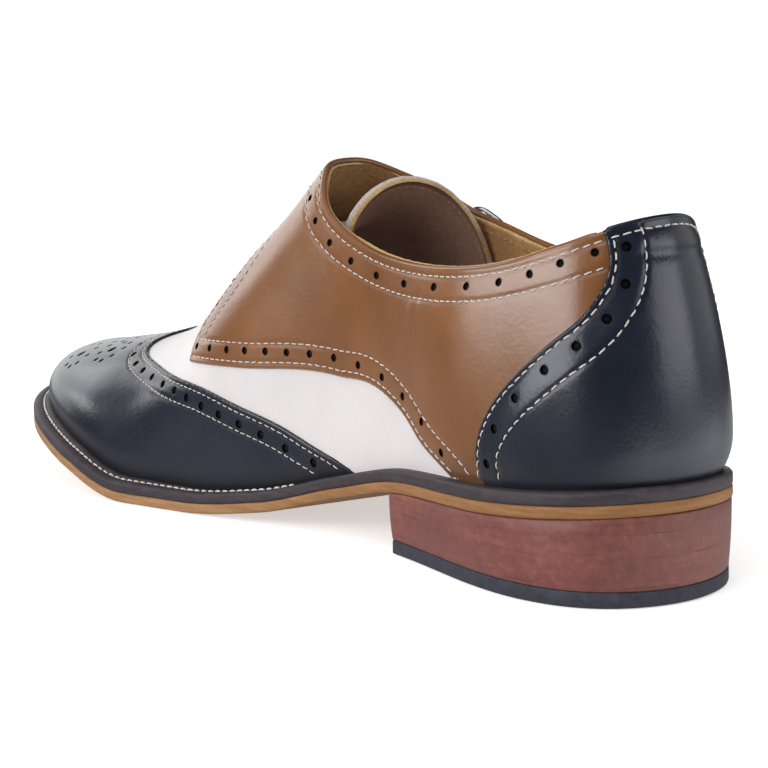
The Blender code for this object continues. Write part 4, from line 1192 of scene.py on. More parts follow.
# wing cap
wing_loop = np.concatenate([wing_m, feather(wing_tm, wing_tl)[1:-1], wing_l[::-1][:-1]])
wing_seams = []
for edge_line, keep_sign in ((wing_m, 1), (wing_l, -1)):
    sg = pick_side(edge_line[20:], wing_loop)
    out_l, in_l = with_stitch(edge_line, sg)
    mid_y = 5.4
    clear = []
    for l in (out_l, in_l):
        on = (l[:, 1] > mid_y) if keep_sign > 0 else (l[:, 1] < mid_y)
        clear.append(above_welt(cut_between(l, on)))
    wing_seams += clear
wing_holes = punched_pair(WING_HOLES, 1.1)
medallion = [(x, y, 1.6) for x, y in MEDALLION_BIG] + [(x, y, 0.9) for x, y in MEDALLION_SMALL]
medallion += [(float(x), float(y), r) for (x, y), r in zip(mirrored(np.array([(a, b) for a, b, _ in medallion])),
                                                         [r for _, _, r in medallion])]
medallion += [(x, y, 1.6) for x, y in MEDALLION_MID_BIG] + [(x, y, 0.9) for x, y in MEDALLION_MID_SMALL]
wing_all_holes = wing_holes + medallion
wing = panel("wing_cap", wing_loop, OFF_WING, SKIN, NAVY,
             rolled=[(wing_m, 0.6, 0.0), (wing_l, 0.6, 0.0)], seams=wing_seams, holes=wing_all_holes)

# vamp: runs under the wing cap, the quarters and the strap
vamp_front_m = parallel(wing_m, 8.0 * pick_side(wing_m[20:], wing_loop))
vamp_front_l = parallel(wing_l, 8.0 * pick_side(wing_l[20:], wing_loop))
vamp_front_m = vamp_front_m[vamp_front_m[:, 1] > 5.4]
vamp_front_l = vamp_front_l[vamp_front_l[:, 1] < 5.4]
vamp_back_m = curve([(138.0, 5.0), (143.0, 26.0), (158.0, 45.0), (140.0, 55.0), (112.0, 68.0), (90.0, 74.0), (68.0, 82.0),
                     (50.0, 96.0), (40.0, 109.0)])
vamp_back_m, vamp_tb = to_feather(vamp_back_m)
vamp_back_l, vamp_tbl = to_feather(mirrored(vamp_back_m))
t_vfm = float(inverse(vamp_front_m[-1:])[0][0])
t_vfl = float(inverse(vamp_front_l[-1:])[0][0])
vamp_loop = np.concatenate([vamp_back_m, feather(vamp_tb, t_vfm)[1:-1], vamp_front_m[::-1], vamp_front_l,
                            feather(t_vfl, vamp_tbl)[1:-1], vamp_back_l[::-1][:-1]])
vamp = panel("vamp", vamp_loop, OFF_VAMP, 0.3, WHITE, spacing=2.2, lift=counter_side, tuck=0.4)
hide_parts("upper")

# inner quarter with the strap
cnt_loop = np.concatenate([cnt_m, feather(cnt_tm, cnt_tl - 1.0)[1:-1], cnt_l[::-1], collar_between(v_cnt_l, v_cnt_m)[1:-1]])
cnt_sign_m = pick_side(cnt_m, cnt_loop)
cnt_sign_l = pick_side(cnt_l, cnt_loop)
back_m = parallel(cnt_m, 9.0 * cnt_sign_m)
back_l = parallel(cnt_l, 9.0 * cnt_sign_l)
v_back_m = collar_v_near(back_m[0], 0.0, 0.6)
v_back_l = collar_v_near(back_l[0], 0.4, 1.0)
t_back_m = float(inverse(back_m[-1:])[0][0])
t_back_l = float(inverse(back_l[-1:])[0][0])
t_back_m = t_back_m if t_back_m < 0.5 else t_back_m - 1.0
t_back_l = t_back_l if t_back_l > 0.5 else t_back_l + 1.0
top_long_m = collar_between(v_front_m, v_back_m)
quarter_m_loop = np.concatenate([low_m[::-1][:-1], front_m[:-1], top_long_m, back_m[3:-2],
                                 feather(t_back_m, low_tm)[:-1]])
sg_low = pick_side(low_m, quarter_m_loop)
sg_front = pick_side(front_m, quarter_m_loop)
sg_top = pick_side(top_m, quarter_m_loop)
lo_out, lo_in = with_stitch(low_m, sg_low)
fr_out, fr_in = with_stitch(front_m, sg_front)
to_out, to_in = parallel(top_long_m, sg_top * 2.1), parallel(top_long_m, sg_top * 8.0)


def clear_of(line, others, gap):
    """Part of a line that keeps a gap from other lines."""
    d = distances(surface(line)[0], tree_of(np.concatenate([surface(evenly(o, 0.4))[0] for o in others])))[0]
    return cut_between(line, d > gap)


lo_rows = [above_welt(clear_of(lo_out, [front_m], STITCH_OUT), 24), above_welt(clear_of(lo_in, [front_m], STITCH_OUT), 24)]
fr_rows = [clear_of(fr_out, [lo_in], 0.5)]
fr_in_part = clear_of(fr_in, [lo_in], 0.5)
fr_in_part = cut_between(fr_in_part, fr_in_part[:, 1] > 2.0)
to_rows = [clear_of(to_out, [cnt_m], 0.35), clear_of(to_in, [cnt_m], 0.35)]
quarter_m_holes = punched(QUARTER_HOLES, 0.95) + punched(FRONT_HOLES, 0.85) + punched(TOP_HOLES, 0.85)
quarter_m_seams = lo_rows + fr_rows + [fr_in_part] + to_rows
PUCKER = surface(np.array([(70.0, 59.5), (73.5, 62.2)]))[0]


def pucker(p):
    """A small pinch under the lower seam of the top edge."""
    near = [((p - c) ** 2).sum(1) for c in PUCKER]
    return 0.2 * np.exp(-near[1] / 1.5 ** 2) - 0.35 * np.exp(-near[0] / 0.9 ** 2)


quarter_m = panel("inner_quarter_strap", quarter_m_loop, OFF_QUARTER, SKIN, BROWN,
                  rolled=[(low_m, 0.55, 0.0), (front_m, 0.6, 0.0), (top_m, 0.5, 0.0)], seams=quarter_m_seams,
                  holes=quarter_m_holes, lift=strap_lift, relief=pucker, lean=waist_turn)
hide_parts("monk_strap")

# outer quarter
front_l = mirrored(curve(QUARTER_FRONT))
front_l = front_l[front_l[:, 1] < -4.0]
v_front_l = 0.985
top_l = collar_between(v_front_l, v_cnt_l)
top_long_l = collar_between(v_front_l, v_back_l)
quarter_l_loop = np.concatenate([low_l[::-1][:-1], front_l, top_long_l, back_l[3:-2], feather(t_back_l, low_tl)[:-1]])
sg_low_l = pick_side(low_l, quarter_l_loop)
sg_top_l = pick_side(top_l, quarter_l_loop)
lol_out, lol_in = with_stitch(low_l, sg_low_l)
tol_out, tol_in = parallel(top_l, sg_top_l * 2.1), parallel(top_l, sg_top_l * 8.0)
lol_rows = [above_welt(clear_of(lol_out, [front_l], 1.7), 24), above_welt(clear_of(lol_in, [front_l], 1.7), 24)]
tol_rows = [clear_of(tol_out, [cnt_l], 0.8), clear_of(tol_in, [cnt_l], 0.8)]
quarter_l_holes = punched(mirrored(np.array(QUARTER_HOLES)), 0.95) + punched(mirrored(np.array(TOP_HOLES[4:-2])), 0.85)
quarter_l = panel("outer_quarter", quarter_l_loop, OFF_QUARTER, SKIN, BROWN,
                  rolled=[(low_l, 0.55, 0.0), (front_l, 0.55, 0.0), (top_l, 0.5, 0.0)], seams=lol_rows + tol_rows,
                  holes=quarter_l_holes, lift=counter_side)

# heel counter
cm_out, cm_in = parallel(cnt_m, cnt_sign_m * 1.4), parallel(cnt_m, cnt_sign_m * 8.6)
cl_out, cl_in = parallel(cnt_l, cnt_sign_l * 1.4), parallel(cnt_l, cnt_sign_l * 8.6)
top_c = collar_between(v_cnt_m, v_cnt_l)
sg_top_c = pick_side(top_c, cnt_loop)
tc_out = parallel(top_c, sg_top_c * 2.2)
tc_rows = [clear_of(tc_out, [cnt_m, cnt_l], 0.5)]
cnt_rows = [above_welt(clear_of(l, [top_c], g)) for l, g in ((cm_out, 2.2), (cm_in, 0.7), (cl_out, 2.2), (cl_in, 0.7))]
outer_row = above_welt(parallel(cnt_l, cnt_sign_l * 5.0))
cnt_holes = punched(COUNTER_HOLES, 1.0) + punched(evenly(outer_row, 0.5)[8:-6:25], 1.0)


def heel_crease(p):
    """A faint level fold under the top of the heel."""
    there = smooth(p[:, 1], 13.0, 8.0) * smooth(p[:, 0], 30.0, 16.0)
    return there * (0.20 * np.exp(-((p[:, 2] - 81.2) / 1.8) ** 2) - 0.26 * np.exp(-((p[:, 2] - 78.4) / 1.3) ** 2))


band_tree = tree_of(surface(evenly(parallel(cnt_m, cnt_sign_m * 5.0), 0.5))[0])


def band_turn(p):
    """Shading normals on the band between the counter's seams lean back a little; the band itself does not move."""
    return smooth(distances(p, band_tree)[0], 3.8, 2.0)[:, None] * (0.0, 0.0, -math.tan(math.radians(7.5)))


counter = panel("heel_counter", cnt_loop, OFF_COUNTER, SKIN, NAVY,
                rolled=[(cnt_m, 0.6, 0.0), (cnt_l, 0.6, 0.0), (top_c, 0.5, 0.0)], seams=cnt_rows + tc_rows, holes=cnt_holes,
                relief=heel_crease, lean=band_turn, spacing=1.5, welt_shade_tone=0.5)

# painted shade: dark discs under all punched holes
hole_shade_discs("perforation_shade_discs", [(wing_all_holes, OFF_WING, None), (quarter_m_holes, OFF_QUARTER, strap_lift),
                              (quarter_l_holes, OFF_QUARTER, counter_side), (cnt_holes, OFF_COUNTER, None)],
       PAINTED_HOLE_SHADE)

stitch_rows("stitches_wing_cap", [row_on(l, OFF_WING) for l in wing_seams], THREAD, 2.5, 1.9, 0.34)
stitch_rows("stitches_quarters", [row_on(l, OFF_QUARTER, strap_lift) for l in quarter_m_seams]
            + [row_on(l, OFF_QUARTER, counter_side) for l in lol_rows + tol_rows], THREAD, 2.75, 2.05, 0.38)
stitch_rows("stitches_heel_counter", [row_on(l, OFF_COUNTER) for l in cnt_rows + tc_rows], THREAD, 2.75, 2.05, 0.41)

# --------------------------------------------------------------------- lining
COLS_V = 241
lin_v = np.linspace(0, 1, COLS_V)
lin_top = collar(lin_v)
lin_top[:, 1] = np.minimum(lin_top[:, 1], 1.0)
lin_foot = front_inner + (front_outer - 1.0 - front_inner) * lin_v
climb = np.r_[np.linspace(0.0, 0.9, 19), np.linspace(0.92, 0.985, 5)]
lin_rows = []
for c in climb:
    t = lin_foot + (lin_top[:, 0] - lin_foot) * c
    lin_rows.append(form_offset(t, lin_top[:, 1] * c, -WALL))
edge_p, edge_n = last_form(lin_top[:, 0], lin_top[:, 1]), last_normal(lin_top[:, 0], lin_top[:, 1])
edge_up = unit(np.cross(unit(np.gradient(edge_p, axis=0)), edge_n))
if edge_up[:, 2].mean() < 0:
    edge_up = -edge_up
inner_wall = smooth(lin_v, 0.07, 0.16) * (1 - smooth(lin_v, 0.40, 0.47))
trim = -0.3 + 1.05 * inner_wall + RNG.normal(0, 0.05, COLS_V)     # the cut edge stands higher along the inner side
for up, off in ((-0.45, -2.2), (-0.12, -2.1), (0.0, -1.7), (-0.1, -1.3), (-0.4, -1.15), (-1.2, -1.1), (-2.0, -1.1)):
    lin_rows.append(edge_p + edge_up * (up + trim)[:, None] + edge_n * off)
lin_rows = np.array(lin_rows)
lr = len(lin_rows)
lin_faces = grid_faces(lr, COLS_V, flip=True)
lin_index = [1 if k // (COLS_V - 1) >= len(climb) - 1 else 0 for k in range(len(lin_faces))]
piece("collar_lining", lin_rows.reshape(-1, 3), lin_faces, [LINING, RAW_EDGE], index=lin_index)



def bead(name, v, offset, lift, radius, material, slot):
    """Rolled top edge of the panels along the collar."""
    line = collar(v)
    line[:, 1] = np.minimum(line[:, 1], 1.0)
    p, n = last_form(line[:, 0], line[:, 1]), last_normal(line[:, 0], line[:, 1])
    for _ in range(6):
        p[1:-1] = (p[:-2] + 2 * p[1:-1] + p[2:]) / 4
        n[1:-1] = unit(n[:-2] + 2 * n[1:-1] + n[2:])
    up = unit(np.cross(unit(np.gradient(p, axis=0)), n))
    up = up * np.where(up[:, 2:] < 0, -1.0, 1.0)
    middle = p + n * np.reshape(offset + lift(p) - radius + 0.06, (-1, 1)) - up * (radius - 0.5)
    ends = np.sqrt(np.clip(1 - (1 - np.minimum(np.arange(len(v)), np.arange(len(v))[::-1]) / 3.0).clip(0, 1) ** 2, 0.01, 1))
    return rod(name, middle, n, radius * ends, False, material, 14)


front_p = np.linspace(front_place, float(place_of_s(258.0)), 48)
front_h = np.r_[np.linspace(0.0, 1.0, 31), np.linspace(1.0, 0.0, 31)[1:]]
front_lining = []
for pl in front_p:
    sides = np.r_[np.full(31, float(t_of_place(pl, 1))), np.full(30, float(t_of_place(pl, -1)))]
    front_lining.append(form_offset(sides, front_h, -WALL))
piece("front_lining", np.concatenate(front_lining), grid_faces(48, 61, flip=True), LINING)

bead_v = np.r_[np.linspace(v_cnt_m - 0.002, 0.0, 150), np.linspace(1.0, v_cnt_l + 0.002, 150)[1:]]
bead("collar_bead", bead_v, OFF_QUARTER, counter_side, 0.8, BROWN, "brown_leather")
bead("counter_bead", np.linspace(v_cnt_m + 0.001, v_cnt_l - 0.001, 90), OFF_COUNTER, lambda p: 0 * p[:, 0], 0.75, NAVY, "navy_leather")

lin_line = [edge_p - edge_up * 3.2 - edge_n * (WALL + 0.05)]
stitch_rows("stitches_lining", [(lin_line[0][4:-4], -edge_n[4:-4])], LINING, 2.75, 2.15, 0.55)

# --------------------------------------------------------------------- tongue
TONGUE_HALF, TONGUE_STEPS = 25, 60
TONGUE_OFF = WALL + 1.1


def tongue_section_on_last(s):
    p = float(place_of_s(s))
    h = np.linspace(TONGUE_SIDE, 1.0, TONGUE_HALF)
    ti, to = float(t_of_place(p, 1)), float(t_of_place(p, -1))
    inner = form_offset(np.full(TONGUE_HALF, ti), h, -TONGUE_OFF)
    outer = form_offset(np.full(TONGUE_HALF, to), h, -TONGUE_OFF)
    return np.r_[inner, outer[:-1][::-1]]


def tongue_section_free(s, cy, cz, ih, idrop, oh, odrop):
    a = np.radians(75.0) * (1 - np.linspace(0.0, 1.0, TONGUE_HALF))
    inner = np.c_[s + TONGUE_SKEW * ih * np.sin(a), cy + ih * np.sin(a), cz - idrop * (1 - np.cos(a))]
    outer = np.c_[s - TONGUE_SKEW * oh * np.sin(a), cy - oh * np.sin(a), cz - odrop * (1 - np.cos(a))]
    return np.r_[inner, outer[:-1][::-1]]


t_rows = [tongue_section_on_last(s) for s in TONGUE_FROM_S] + [tongue_section_free(*row) for row in TONGUE_FREE]
t_rows = np.array(t_rows)
t_crown = t_rows[:, TONGUE_HALF - 1]
t_run = np.r_[0.0, np.cumsum(np.linalg.norm(np.diff(t_crown, axis=0), axis=1))]
tongue_at = spline_rows(t_run / t_run[-1], t_rows.reshape(len(t_rows), -1))
t_face = tongue_at(np.linspace(0, 1, TONGUE_STEPS)).reshape(TONGUE_STEPS, -1, 3)
t_norm = unit(np.cross(np.gradient(t_face, axis=0), np.gradient(t_face, axis=1)))
if t_norm[:, TONGUE_HALF - 1, 2].mean() < 0:
    t_norm = -t_norm
tr, tc = t_face.shape[:2]
outer_f = t_face
inner_f = t_face - t_norm * TONGUE
rim = [(i, 0) for i in range(tr)] + [(tr - 1, j) for j in range(1, tc)] + [(i, tc - 1) for i in range(tr - 2, -1, -1)] + [
    (0, j) for j in range(tc - 2, 0, -1)]
points = list(outer_f.reshape(-1, 3)) + list(inner_f.reshape(-1, 3))
faces = grid_faces(tr, tc) + grid_faces(tr, tc, base=tr * tc, flip=True)
index = [0] * ((tr - 1) * (tc - 1)) + [1] * ((tr - 1) * (tc - 1))
# bulged raw rim in two tones
rim_p = np.array([t_face[i, j] for i, j in rim])
rim_n = np.array([t_norm[i, j] for i, j in rim])
rim_t = unit(np.roll(rim_p, -1, 0) - np.roll(rim_p, 1, 0))
rim_o = unit(np.cross(rim_t, rim_n))
centre = t_face.reshape(-1, 3).mean(0)
if (rim_o * (rim_p - centre)).sum() < 0:
    rim_o = -rim_o
depths = (0.0, 0.25, 0.7, 1.2, 1.7, 2.15, TONGUE)
bulge = (0.0, 0.28, 0.4, 0.36, 0.42, 0.28, 0.0)
nr = len(rim)
start = len(points)
for d, b in list(zip(depths, bulge))[1:-1]:
    points += list(rim_p - rim_n * d + rim_o * (b + RNG.normal(0, 0.05, nr))[:, None])
ids = [[i * tc + j for i, j in rim]] + [[start + k * nr + i for i in range(nr)] for k in range(len(depths) - 2)] + [
    [tr * tc + i * tc + j for i, j in rim]]
for k in range(len(ids) - 1):
    for i in range(nr):
        q = (i + 1) % nr
        faces.append((ids[k][i], ids[k + 1][i], ids[k + 1][q], ids[k][q]))
        index.append(2 if k < 3 else 3)
tongue = piece("tongue", points, faces, [WHITE, TONGUE_LINING, TONGUE_EDGE, RAW_EDGE], index=index)
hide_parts("tongue")
part = (1 - 1.7 / t_run[-1]) * (tr - 1)
row, part = int(part), part - int(part)
seam_p = t_face[row, 2:-2] * (1 - part) + t_face[row + 1, 2:-2] * part
seam_n = unit(t_norm[row, 2:-2] * (1 - part) + t_norm[row + 1, 2:-2] * part)
stitch_rows("stitches_tongue", [(seam_p + seam_n * 0.02, seam_n)], THREAD, 2.6, 2.0, 0.5)
stitch_rows("stitches_tongue_lining", [(seam_p - seam_n * (TONGUE + 0.02), -seam_n)], LINING, 2.4, 1.7, 0.3)

# ----------------------------------------------------------------------- sole
RING = 640
ring_t = np.arange(RING) / RING
ring_xy, ring_out, ring_margin = outline(ring_t), outward(ring_t), margin(ring_t)[:, 0]


def fill(points_xy):
    """Triangles over a plan outline with a few points inside."""
    loop = np.asarray(points_xy)
    lo, hi = loop.min(0), loop.max(0)
    gx, gy = np.meshgrid(np.arange(lo[0], hi[0], 6.0), np.arange(lo[1], hi[1], 6.0), indexing="ij")
    grid = np.c_[gx.ravel(), gy.ravel()]
    grid = grid[inside_loop(grid, loop)]
    grid = grid[distances(grid, tree_of(loop))[0] > 3.0]
    n = len(loop)
    found = geometry.delaunay_2d_cdt([Vector(p) for p in np.r_[loop, grid].tolist()],
                                     [(k, (k + 1) % n) for k in range(n)], [], 1, 1e-6)
    q = np.array([v[:] for v in found[0]])
    tri = np.array([f for f in found[2] if len(f) == 3])
    tri = tri[inside_loop(q[tri].mean(1), loop)]
    a = q[tri]
    turn = ((a[:, 1] - a[:, 0])[:, 0] * (a[:, 2] - a[:, 0])[:, 1] - (a[:, 1] - a[:, 0])[:, 1] * (a[:, 2] - a[:, 0])[:, 0])
    tri[turn < 0] = tri[turn < 0][:, ::-1]
    return q, tri, n


def layer(name, xy, out, profile, material, low_z, high_z, attributes=None):
    """Closed layer swept round a plan; profile rows are (inset, height) arrays from below to above."""
    n = len(xy)
    rows = [np.c_[xy - out * np.reshape(i, (-1, 1)), z] for i, z in profile]
    points = list(np.concatenate(rows))
    faces = grid_faces(len(rows), n, closed=True)
    area = (xy[:, 0] * np.roll(xy[:, 1], -1) - np.roll(xy[:, 0], -1) * xy[:, 1]).sum()
    if area < 0:
        faces = [f[::-1] for f in faces]
    for which, height, down in ((0, low_z, True), (len(rows) - 1, high_z, False)):
        loop = rows[which][:, :2]
        q, tri, k = fill(loop)
        extra = len(points)
        points += list(np.c_[q[k:], height(q[k:, 0])])
        remap = np.r_[np.arange(k) + which * n, np.arange(len(q) - k) + extra]
        for f in tri:
            g = tuple(int(remap[v]) for v in f)
            faces.append(g[::-1] if down else g)
    return piece(name, points, faces, material, attributes=attributes)


z0 = underside(ring_xy[:, 0])
ones = np.ones(RING)


def under(inset):
    return underside((ring_xy - ring_out * np.reshape(inset, (-1, 1)))[:, 0])


outsole_profile = [(2.0 * ones, under(2.0)), (0.9 * ones, under(0.9)), (0.35 * ones, under(0.35) + 0.12),
                   (0.08 * ones, z0 + 0.4), (0 * ones, z0 + 0.9), (0 * ones, z0 + 2.0), (0.05 * ones, z0 + 2.6),
                   (0.3 * ones, z0 + 2.95), (3.0 * ones, under(3.0) + 2.95)]
outsole = layer("outsole", ring_xy, ring_out, outsole_profile, SOLE_TAN,
                lambda s: underside(s), lambda s: underside(s) + 2.95)
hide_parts("outsole")

zw = z0 + OUTSOLE + 0.12
zt = welt_top(ring_xy[:, 0])
m = ring_margin
fore = smooth(m, 2.6, 4.6)
k = m / 5.8
welt_profile = [(3.0 * ones, under(3.0) + OUTSOLE + 0.12), (0.35 * ones, zw + 0.0), (0.05 * ones, zw + 0.3), (0 * ones, zw + 0.8),
                (0 * ones, zt - 0.95), (0.06 * ones, zt - 0.55), (0.35 * ones, zt - 0.2), (1.0 * k + 0.2, zt + 0.25 * fore),
                (2.3 * k + 0.2, zt + 0.05 + 0.55 * fore), (2.75 * k + 0.2, zt + 0.05 + 0.45 * fore), (3.1 * k + 0.2, zt + 0.05 + 0.15 * fore),
                (3.6 * k + 0.2, zt + 0.05 + 0.2 * fore), (4.2 * k + 0.2, zt + 0.05 + 0.75 * fore),
                (4.9 * k + 0.2, zt + 0.05 + 1.15 * fore), (m, zt + 0.05 + 1.25 * fore), (m + 3.0, zt + 0.7 * fore)]
welt = layer("welt", ring_xy, ring_out, welt_profile, WELT_DARK,
             lambda s: underside(s) + OUTSOLE + 0.12, lambda s: welt_top(s) + 0.3)
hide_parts("welt")

stitch_t = np.linspace((ROW_T[5] + ROW_T[6]) / 2, ROW_T[20], 900)
st_xy, st_out, st_m = outline(stitch_t), outward(stitch_t), margin(stitch_t)[:, 0]
st_f = smooth(st_m, 2.6, 4.6)
st_in = 3.55 * st_m / 5.8 + 0.2
st_line = np.c_[st_xy - st_out * st_in[:, None], welt_top(st_xy[:, 0]) + 0.12 + 0.25 * st_f]
st_norm = unit(np.c_[st_out * 0.6, np.ones(len(st_out))])
stitch_rows("stitches_welt", [(st_line, st_norm)], THREAD, 3.05, 2.4, 0.7)


def heel_plan(taper):
    """Heel outline with a straight front face, and level directions out of it."""
    t = np.linspace(-0.25, 0.25, 2001)
    xy = outline(t)
    keep = xy[:, 0] <= HEEL_BREAST
    t = t[keep]
    a, b = t[0], t[-1]
    t = np.linspace(a, b, 260)
    xy, out = outline(t), outward(t)
    face = np.linspace(0, 1, 40)[1:-1, None]
    bridge = xy[-1] + (xy[0] - xy[-1]) * face
    xy = np.r_[xy, bridge]
    out = np.r_[out, np.tile((1.0, 0.0), (len(bridge), 1))]
    flat = np.r_[np.zeros(260), np.ones(len(bridge))]
    flat[[0, 259]] = 0.0
    out[0] = out[0] + (0.35, 0.0)
    out[259] = out[259] + (0.35, 0.0)
    return xy, out, flat


hx, ho, hflat = heel_plan(0)
hz = underside(hx[:, 0])
side = 1 - hflat                 # the front face does not taper


def heel_inset(taper, round_in):
    return taper * side + round_in


stack_rows = [(heel_inset(HEEL_TAPER, 1.4), np.full(len(hx), LIFT + 0.06)), (heel_inset(HEEL_TAPER, 0.25), np.full(len(hx), LIFT + 0.06)),
              (heel_inset(HEEL_TAPER, 0.02), np.full(len(hx), LIFT + 0.35))]
for f in (0.2, 0.4, 0.6, 0.8):
    stack_rows.append((heel_inset(HEEL_TAPER + (0.25 - HEEL_TAPER) * f - 0.18 * math.sin(f * math.pi), 0.0), LIFT + 0.35 + (hz - 0.5 - LIFT - 0.35) * f))
stack_rows += [(heel_inset(0.25, 0.0), hz - 0.4), (heel_inset(0.25, 0.25), hz - 0.06), (heel_inset(0.25, 1.4), hz - 0.06)]
stack = layer("heel_stack", hx, ho, stack_rows, STACK,
              lambda s: np.full(len(s), LIFT + 0.06), lambda s: underside(s) - 0.06)
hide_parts("heel_stack")
lift_rows = [(heel_inset(HEEL_TAPER, 1.6), np.zeros(len(hx))), (heel_inset(HEEL_TAPER, 0.5), np.zeros(len(hx))),
             (heel_inset(HEEL_TAPER, 0.12), np.full(len(hx), 0.2)), (heel_inset(HEEL_TAPER, 0.0), np.full(len(hx), 0.6)),
             (heel_inset(HEEL_TAPER, 0.0), np.full(len(hx), LIFT - 0.4)), (heel_inset(HEEL_TAPER, 0.1), np.full(len(hx), LIFT - 0.08)),
             (heel_inset(HEEL_TAPER, 0.35), np.full(len(hx), LIFT)), (heel_inset(HEEL_TAPER, 1.6), np.full(len(hx), LIFT))]
top_lift = layer("heel_top_lift", hx, ho, lift_rows, RUBBER,
                 lambda s: np.zeros(len(s)), lambda s: np.full(len(s), LIFT))
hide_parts("heel_top_lift")

# insole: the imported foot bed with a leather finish
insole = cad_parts["insole"]
insole.data.materials.clear()
insole.data.materials.append(LINING)

# --------------------------------------------------------------------- buckle
mid_t, mid_h = nearest(BUCKLE_AT, -1)
mid = last_form([mid_t], [mid_h])[0]
up_n = last_normal([mid_t], [mid_h])[0]
along = np.array(BUCKLE_ALONG)
along = unit(along - up_n * (along @ up_n))
across = np.cross(up_n, along)
if across[2] < 0:
    across = -across


def on_wall(a, b, distance):
    path, normals = [], []
    for x, y in zip(a, b):
        t, h = nearest(mid + along * x + across * y, -1)
        n = last_normal([t], [h])[0]
        path.append(last_form([t], [h])[0] + n * distance)
        normals.append(n)
    return np.array(path), np.array(normals)


def square_loop(half_l, half_w, corner_r, per=10):
    loop = []
    for q in range(4):
        cx = (half_l - corner_r) * (1 if q in (0, 3) else -1)
        cy = (half_w - corner_r) * (1 if q in (0, 1) else -1)
        for c in np.linspace(0, math.pi / 2, per) + q * math.pi / 2:
            loop.append((cx + corner_r * math.cos(c), cy + corner_r * math.sin(c)))
    return evenly(np.array(loop), 1.0, closed=True)


loop = square_loop(BUCKLE_HALF_LENGTH, BUCKLE_HALF_WIDTH, BUCKLE_CORNER)
path, normals = on_wall(loop[:, 0], loop[:, 1], GAP + STRAP + GAP + BUCKLE_WIRE)
buckle = rod("buckle_frame", path, normals, BUCKLE_WIRE, True, SILVER)
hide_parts("buckle_frame")
reach = BUCKLE_HALF_LENGTH - BUCKLE_WIRE - 0.5
path, normals = on_wall(np.linspace(-reach, reach, 24), np.zeros(24), GAP + STRAP + GAP + PRONG_WIRE)
taper = PRONG_WIRE * (1 - 0.35 * smooth(np.linspace(0, 1, 24), 0.6, 1.0))
prong = rod("buckle_prong", path, normals, taper, False, SILVER, 14)
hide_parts("buckle_prong")

# --------------------------------------------------------------- stage, camera
scene = bpy.context.scene


def ground(name, half, z):
    mesh = bpy.data.meshes.new(name)
    f = np.linspace(-half, half, 24)
    mesh.from_pydata([(x, y, z) for x in f for y in f], [], grid_faces(24, 24, flip=True))
    thing = bpy.data.objects.new(name, mesh)
    scene.collection.objects.link(thing)
    return thing


# white paper; the light that it sends back comes from a dimmer sheet under it
floor = ground("floor", 8.0, -0.0002)
net = Net("floor_paper")
reach = net.node("ShaderNodeVectorMath", operation="LENGTH")
net.link(net.coord, reach.inputs[0])
glow = net.ramp(net.span(reach.outputs["Value"], 0.0, 1.0, 0.25, 2.0),
                [(0.0, (0.52, 0.52, 0.52, 1)), (0.5, (0.85, 0.85, 0.85, 1)), (1.0, (1, 1, 1, 1))])
net.link(glow, net.shader.inputs["Emission Color"])
net.finish(net.ramp(net.noise(3.0, 2.0, 0.5), [(0.3, (0.88, 0.88, 0.88, 1)), (0.7, (0.92, 0.92, 0.92, 1))]), None, None,
           Roughness=0.9, Specular_IOR_Level=0.0, Emission_Strength=1.0)
floor.data.materials.append(net.mat)
floor.visible_glossy = False
floor.visible_diffuse = False
bounce = ground("floor_bounce", 0.45, -0.0006)
net = Net("floor_bounce")
tone = net.ramp(net.noise(4.0, 2.0, 0.5), [(0.3, (0.95, 0.95, 0.95, 1)), (0.7, (1, 1, 1, 1))])
where = net.node("ShaderNodeSeparateXYZ")
net.link(net.coord, where.inputs[0])
tone = net.mix(net.span(where.outputs["Y"], 0.0, 1.0, 0.02, 0.12), tone, (0.42, 0.42, 0.42, 1))
at_heel = net.math("MULTIPLY", net.span(where.outputs["X"], 1.0, 0.0, -0.22, -0.13), net.span(where.outputs["Y"], 1.0, 0.0, 0.01, 0.08))
net.link(net.mix(at_heel, tone, (5.0, 5.0, 5.0, 1)), net.shader.inputs["Emission Color"])
net.finish(tone, None, None, Roughness=1.0, Specular_IOR_Level=0.0, Emission_Strength=0.28)
bounce.data.materials.append(net.mat)
bounce.visible_camera = False

AZ, EL, ROLL, DIST, FOCAL = math.radians(55.86), math.radians(6.6), math.radians(-1.11), 530.07, 1768.79
TARGET = np.array([150.0, -18.91, 35.15])
c = np.array([-math.sin(AZ) * math.cos(EL), math.cos(AZ) * math.cos(EL), math.sin(EL)])
ahead = -c
right = unit(np.cross(ahead, (0.0, 0.0, 1.0)))
upward = np.cross(right, ahead)
r_v = right * math.cos(ROLL) + upward * math.sin(ROLL)
u_v = -right * math.sin(ROLL) + upward * math.cos(ROLL)
eye = to_world(TARGET + c * DIST)
cam_data = bpy.data.cameras.new("camera")
cam_data.sensor_width = 36.0
cam_data.lens = FOCAL / 768.0 * 36.0
cam_data.clip_start, cam_data.clip_end = 0.01, 100.0
cam = bpy.data.objects.new("camera", cam_data)
cam.matrix_world = Matrix([[r_v[i], u_v[i], -ahead[i], eye[i]] for i in range(3)] + [[0, 0, 0, 1]])
scene.collection.objects.link(cam)
scene.camera = cam


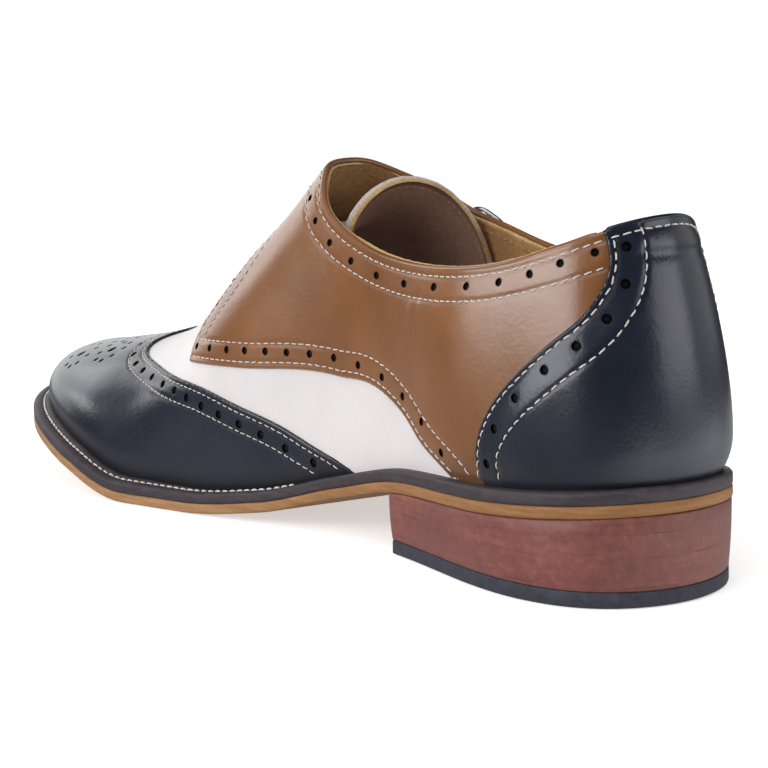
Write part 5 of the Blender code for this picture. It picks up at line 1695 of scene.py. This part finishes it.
def soft_box(name, place_at, aim, size, power, colour=(1, 1, 1)):
    data = bpy.data.lights.new(name, "AREA")
    data.shape = "RECTANGLE"
    data.size, data.size_y = size
    data.energy = power
    data.color = colour
    thing = bpy.data.objects.new(name, data)
    thing.location = place_at
    thing.rotation_mode = "QUATERNION"
    thing.rotation_quaternion = (Vector(aim) - Vector(place_at)).to_track_quat("-Z", "Y")
    scene.collection.objects.link(thing)
    thing.visible_camera = False
    return thing


def box_light(name, place_at, aim, size, radiance):
    return soft_box(name, place_at, aim, size, radiance * math.pi * size[0] * size[1])


box_light("box_back", (1.10, -0.42, 0.33), (0.0, 0.0, 0.05), (1.9, 0.64), 1.3)
box_light("box_toe", (1.10, 0.24, 0.60), (0.05, 0.02, 0.03), (0.52, 0.34), 1.7)
box_light("box_front", (2.28, 1.02, 0.68), (0.0, 0.0, 0.08), (0.72, 0.28), 4.0)
box_light("box_inner", (0.04, 0.92, 0.335), (0.0, 0.0, 0.12), (0.98, 0.46), 5.9)
box_light("box_heel", (-0.92, -0.68, 0.27), (-0.12, 0.0, 0.08), (0.74, 0.40), 2.9)
box_light("box_outer", (-0.22, -1.10, 0.33), (-0.08, 0.0, 0.08), (0.70, 0.56), 0.6)
box_light("box_camera", (-0.66, 0.60, 1.0), (-0.03, 0.0, 0.06), (0.6, 0.6), 3.2)
box_light("box_top", (0.0, 0.0, 1.5), (0.0, 0.0, 0.0), (1.3, 1.1), 0.8)

world = bpy.data.worlds.new("studio")
world.use_nodes = True
scene.world = world
wt = world.node_tree
bg = wt.nodes["Background"]
bg.inputs["Color"].default_value = (1.0, 1.0, 1.0, 1.0)
ray = wt.nodes.new("ShaderNodeLightPath")
for_camera = wt.nodes.new("ShaderNodeMapRange")
for_camera.inputs["To Min"].default_value = 0.22
for_camera.inputs["To Max"].default_value = 1.0
wt.links.new(ray.outputs["Is Camera Ray"], for_camera.inputs["Value"])
for_gloss = wt.nodes.new("ShaderNodeMapRange")
for_gloss.inputs["To Max"].default_value = 0.04
wt.links.new(ray.outputs["Is Glossy Ray"], for_gloss.inputs["Value"])
wt.links.new(for_camera.outputs["Result"], for_gloss.inputs["To Min"])
wt.links.new(for_gloss.outputs["Result"], bg.inputs["Strength"])
scene.view_settings.view_transform = "Standard"
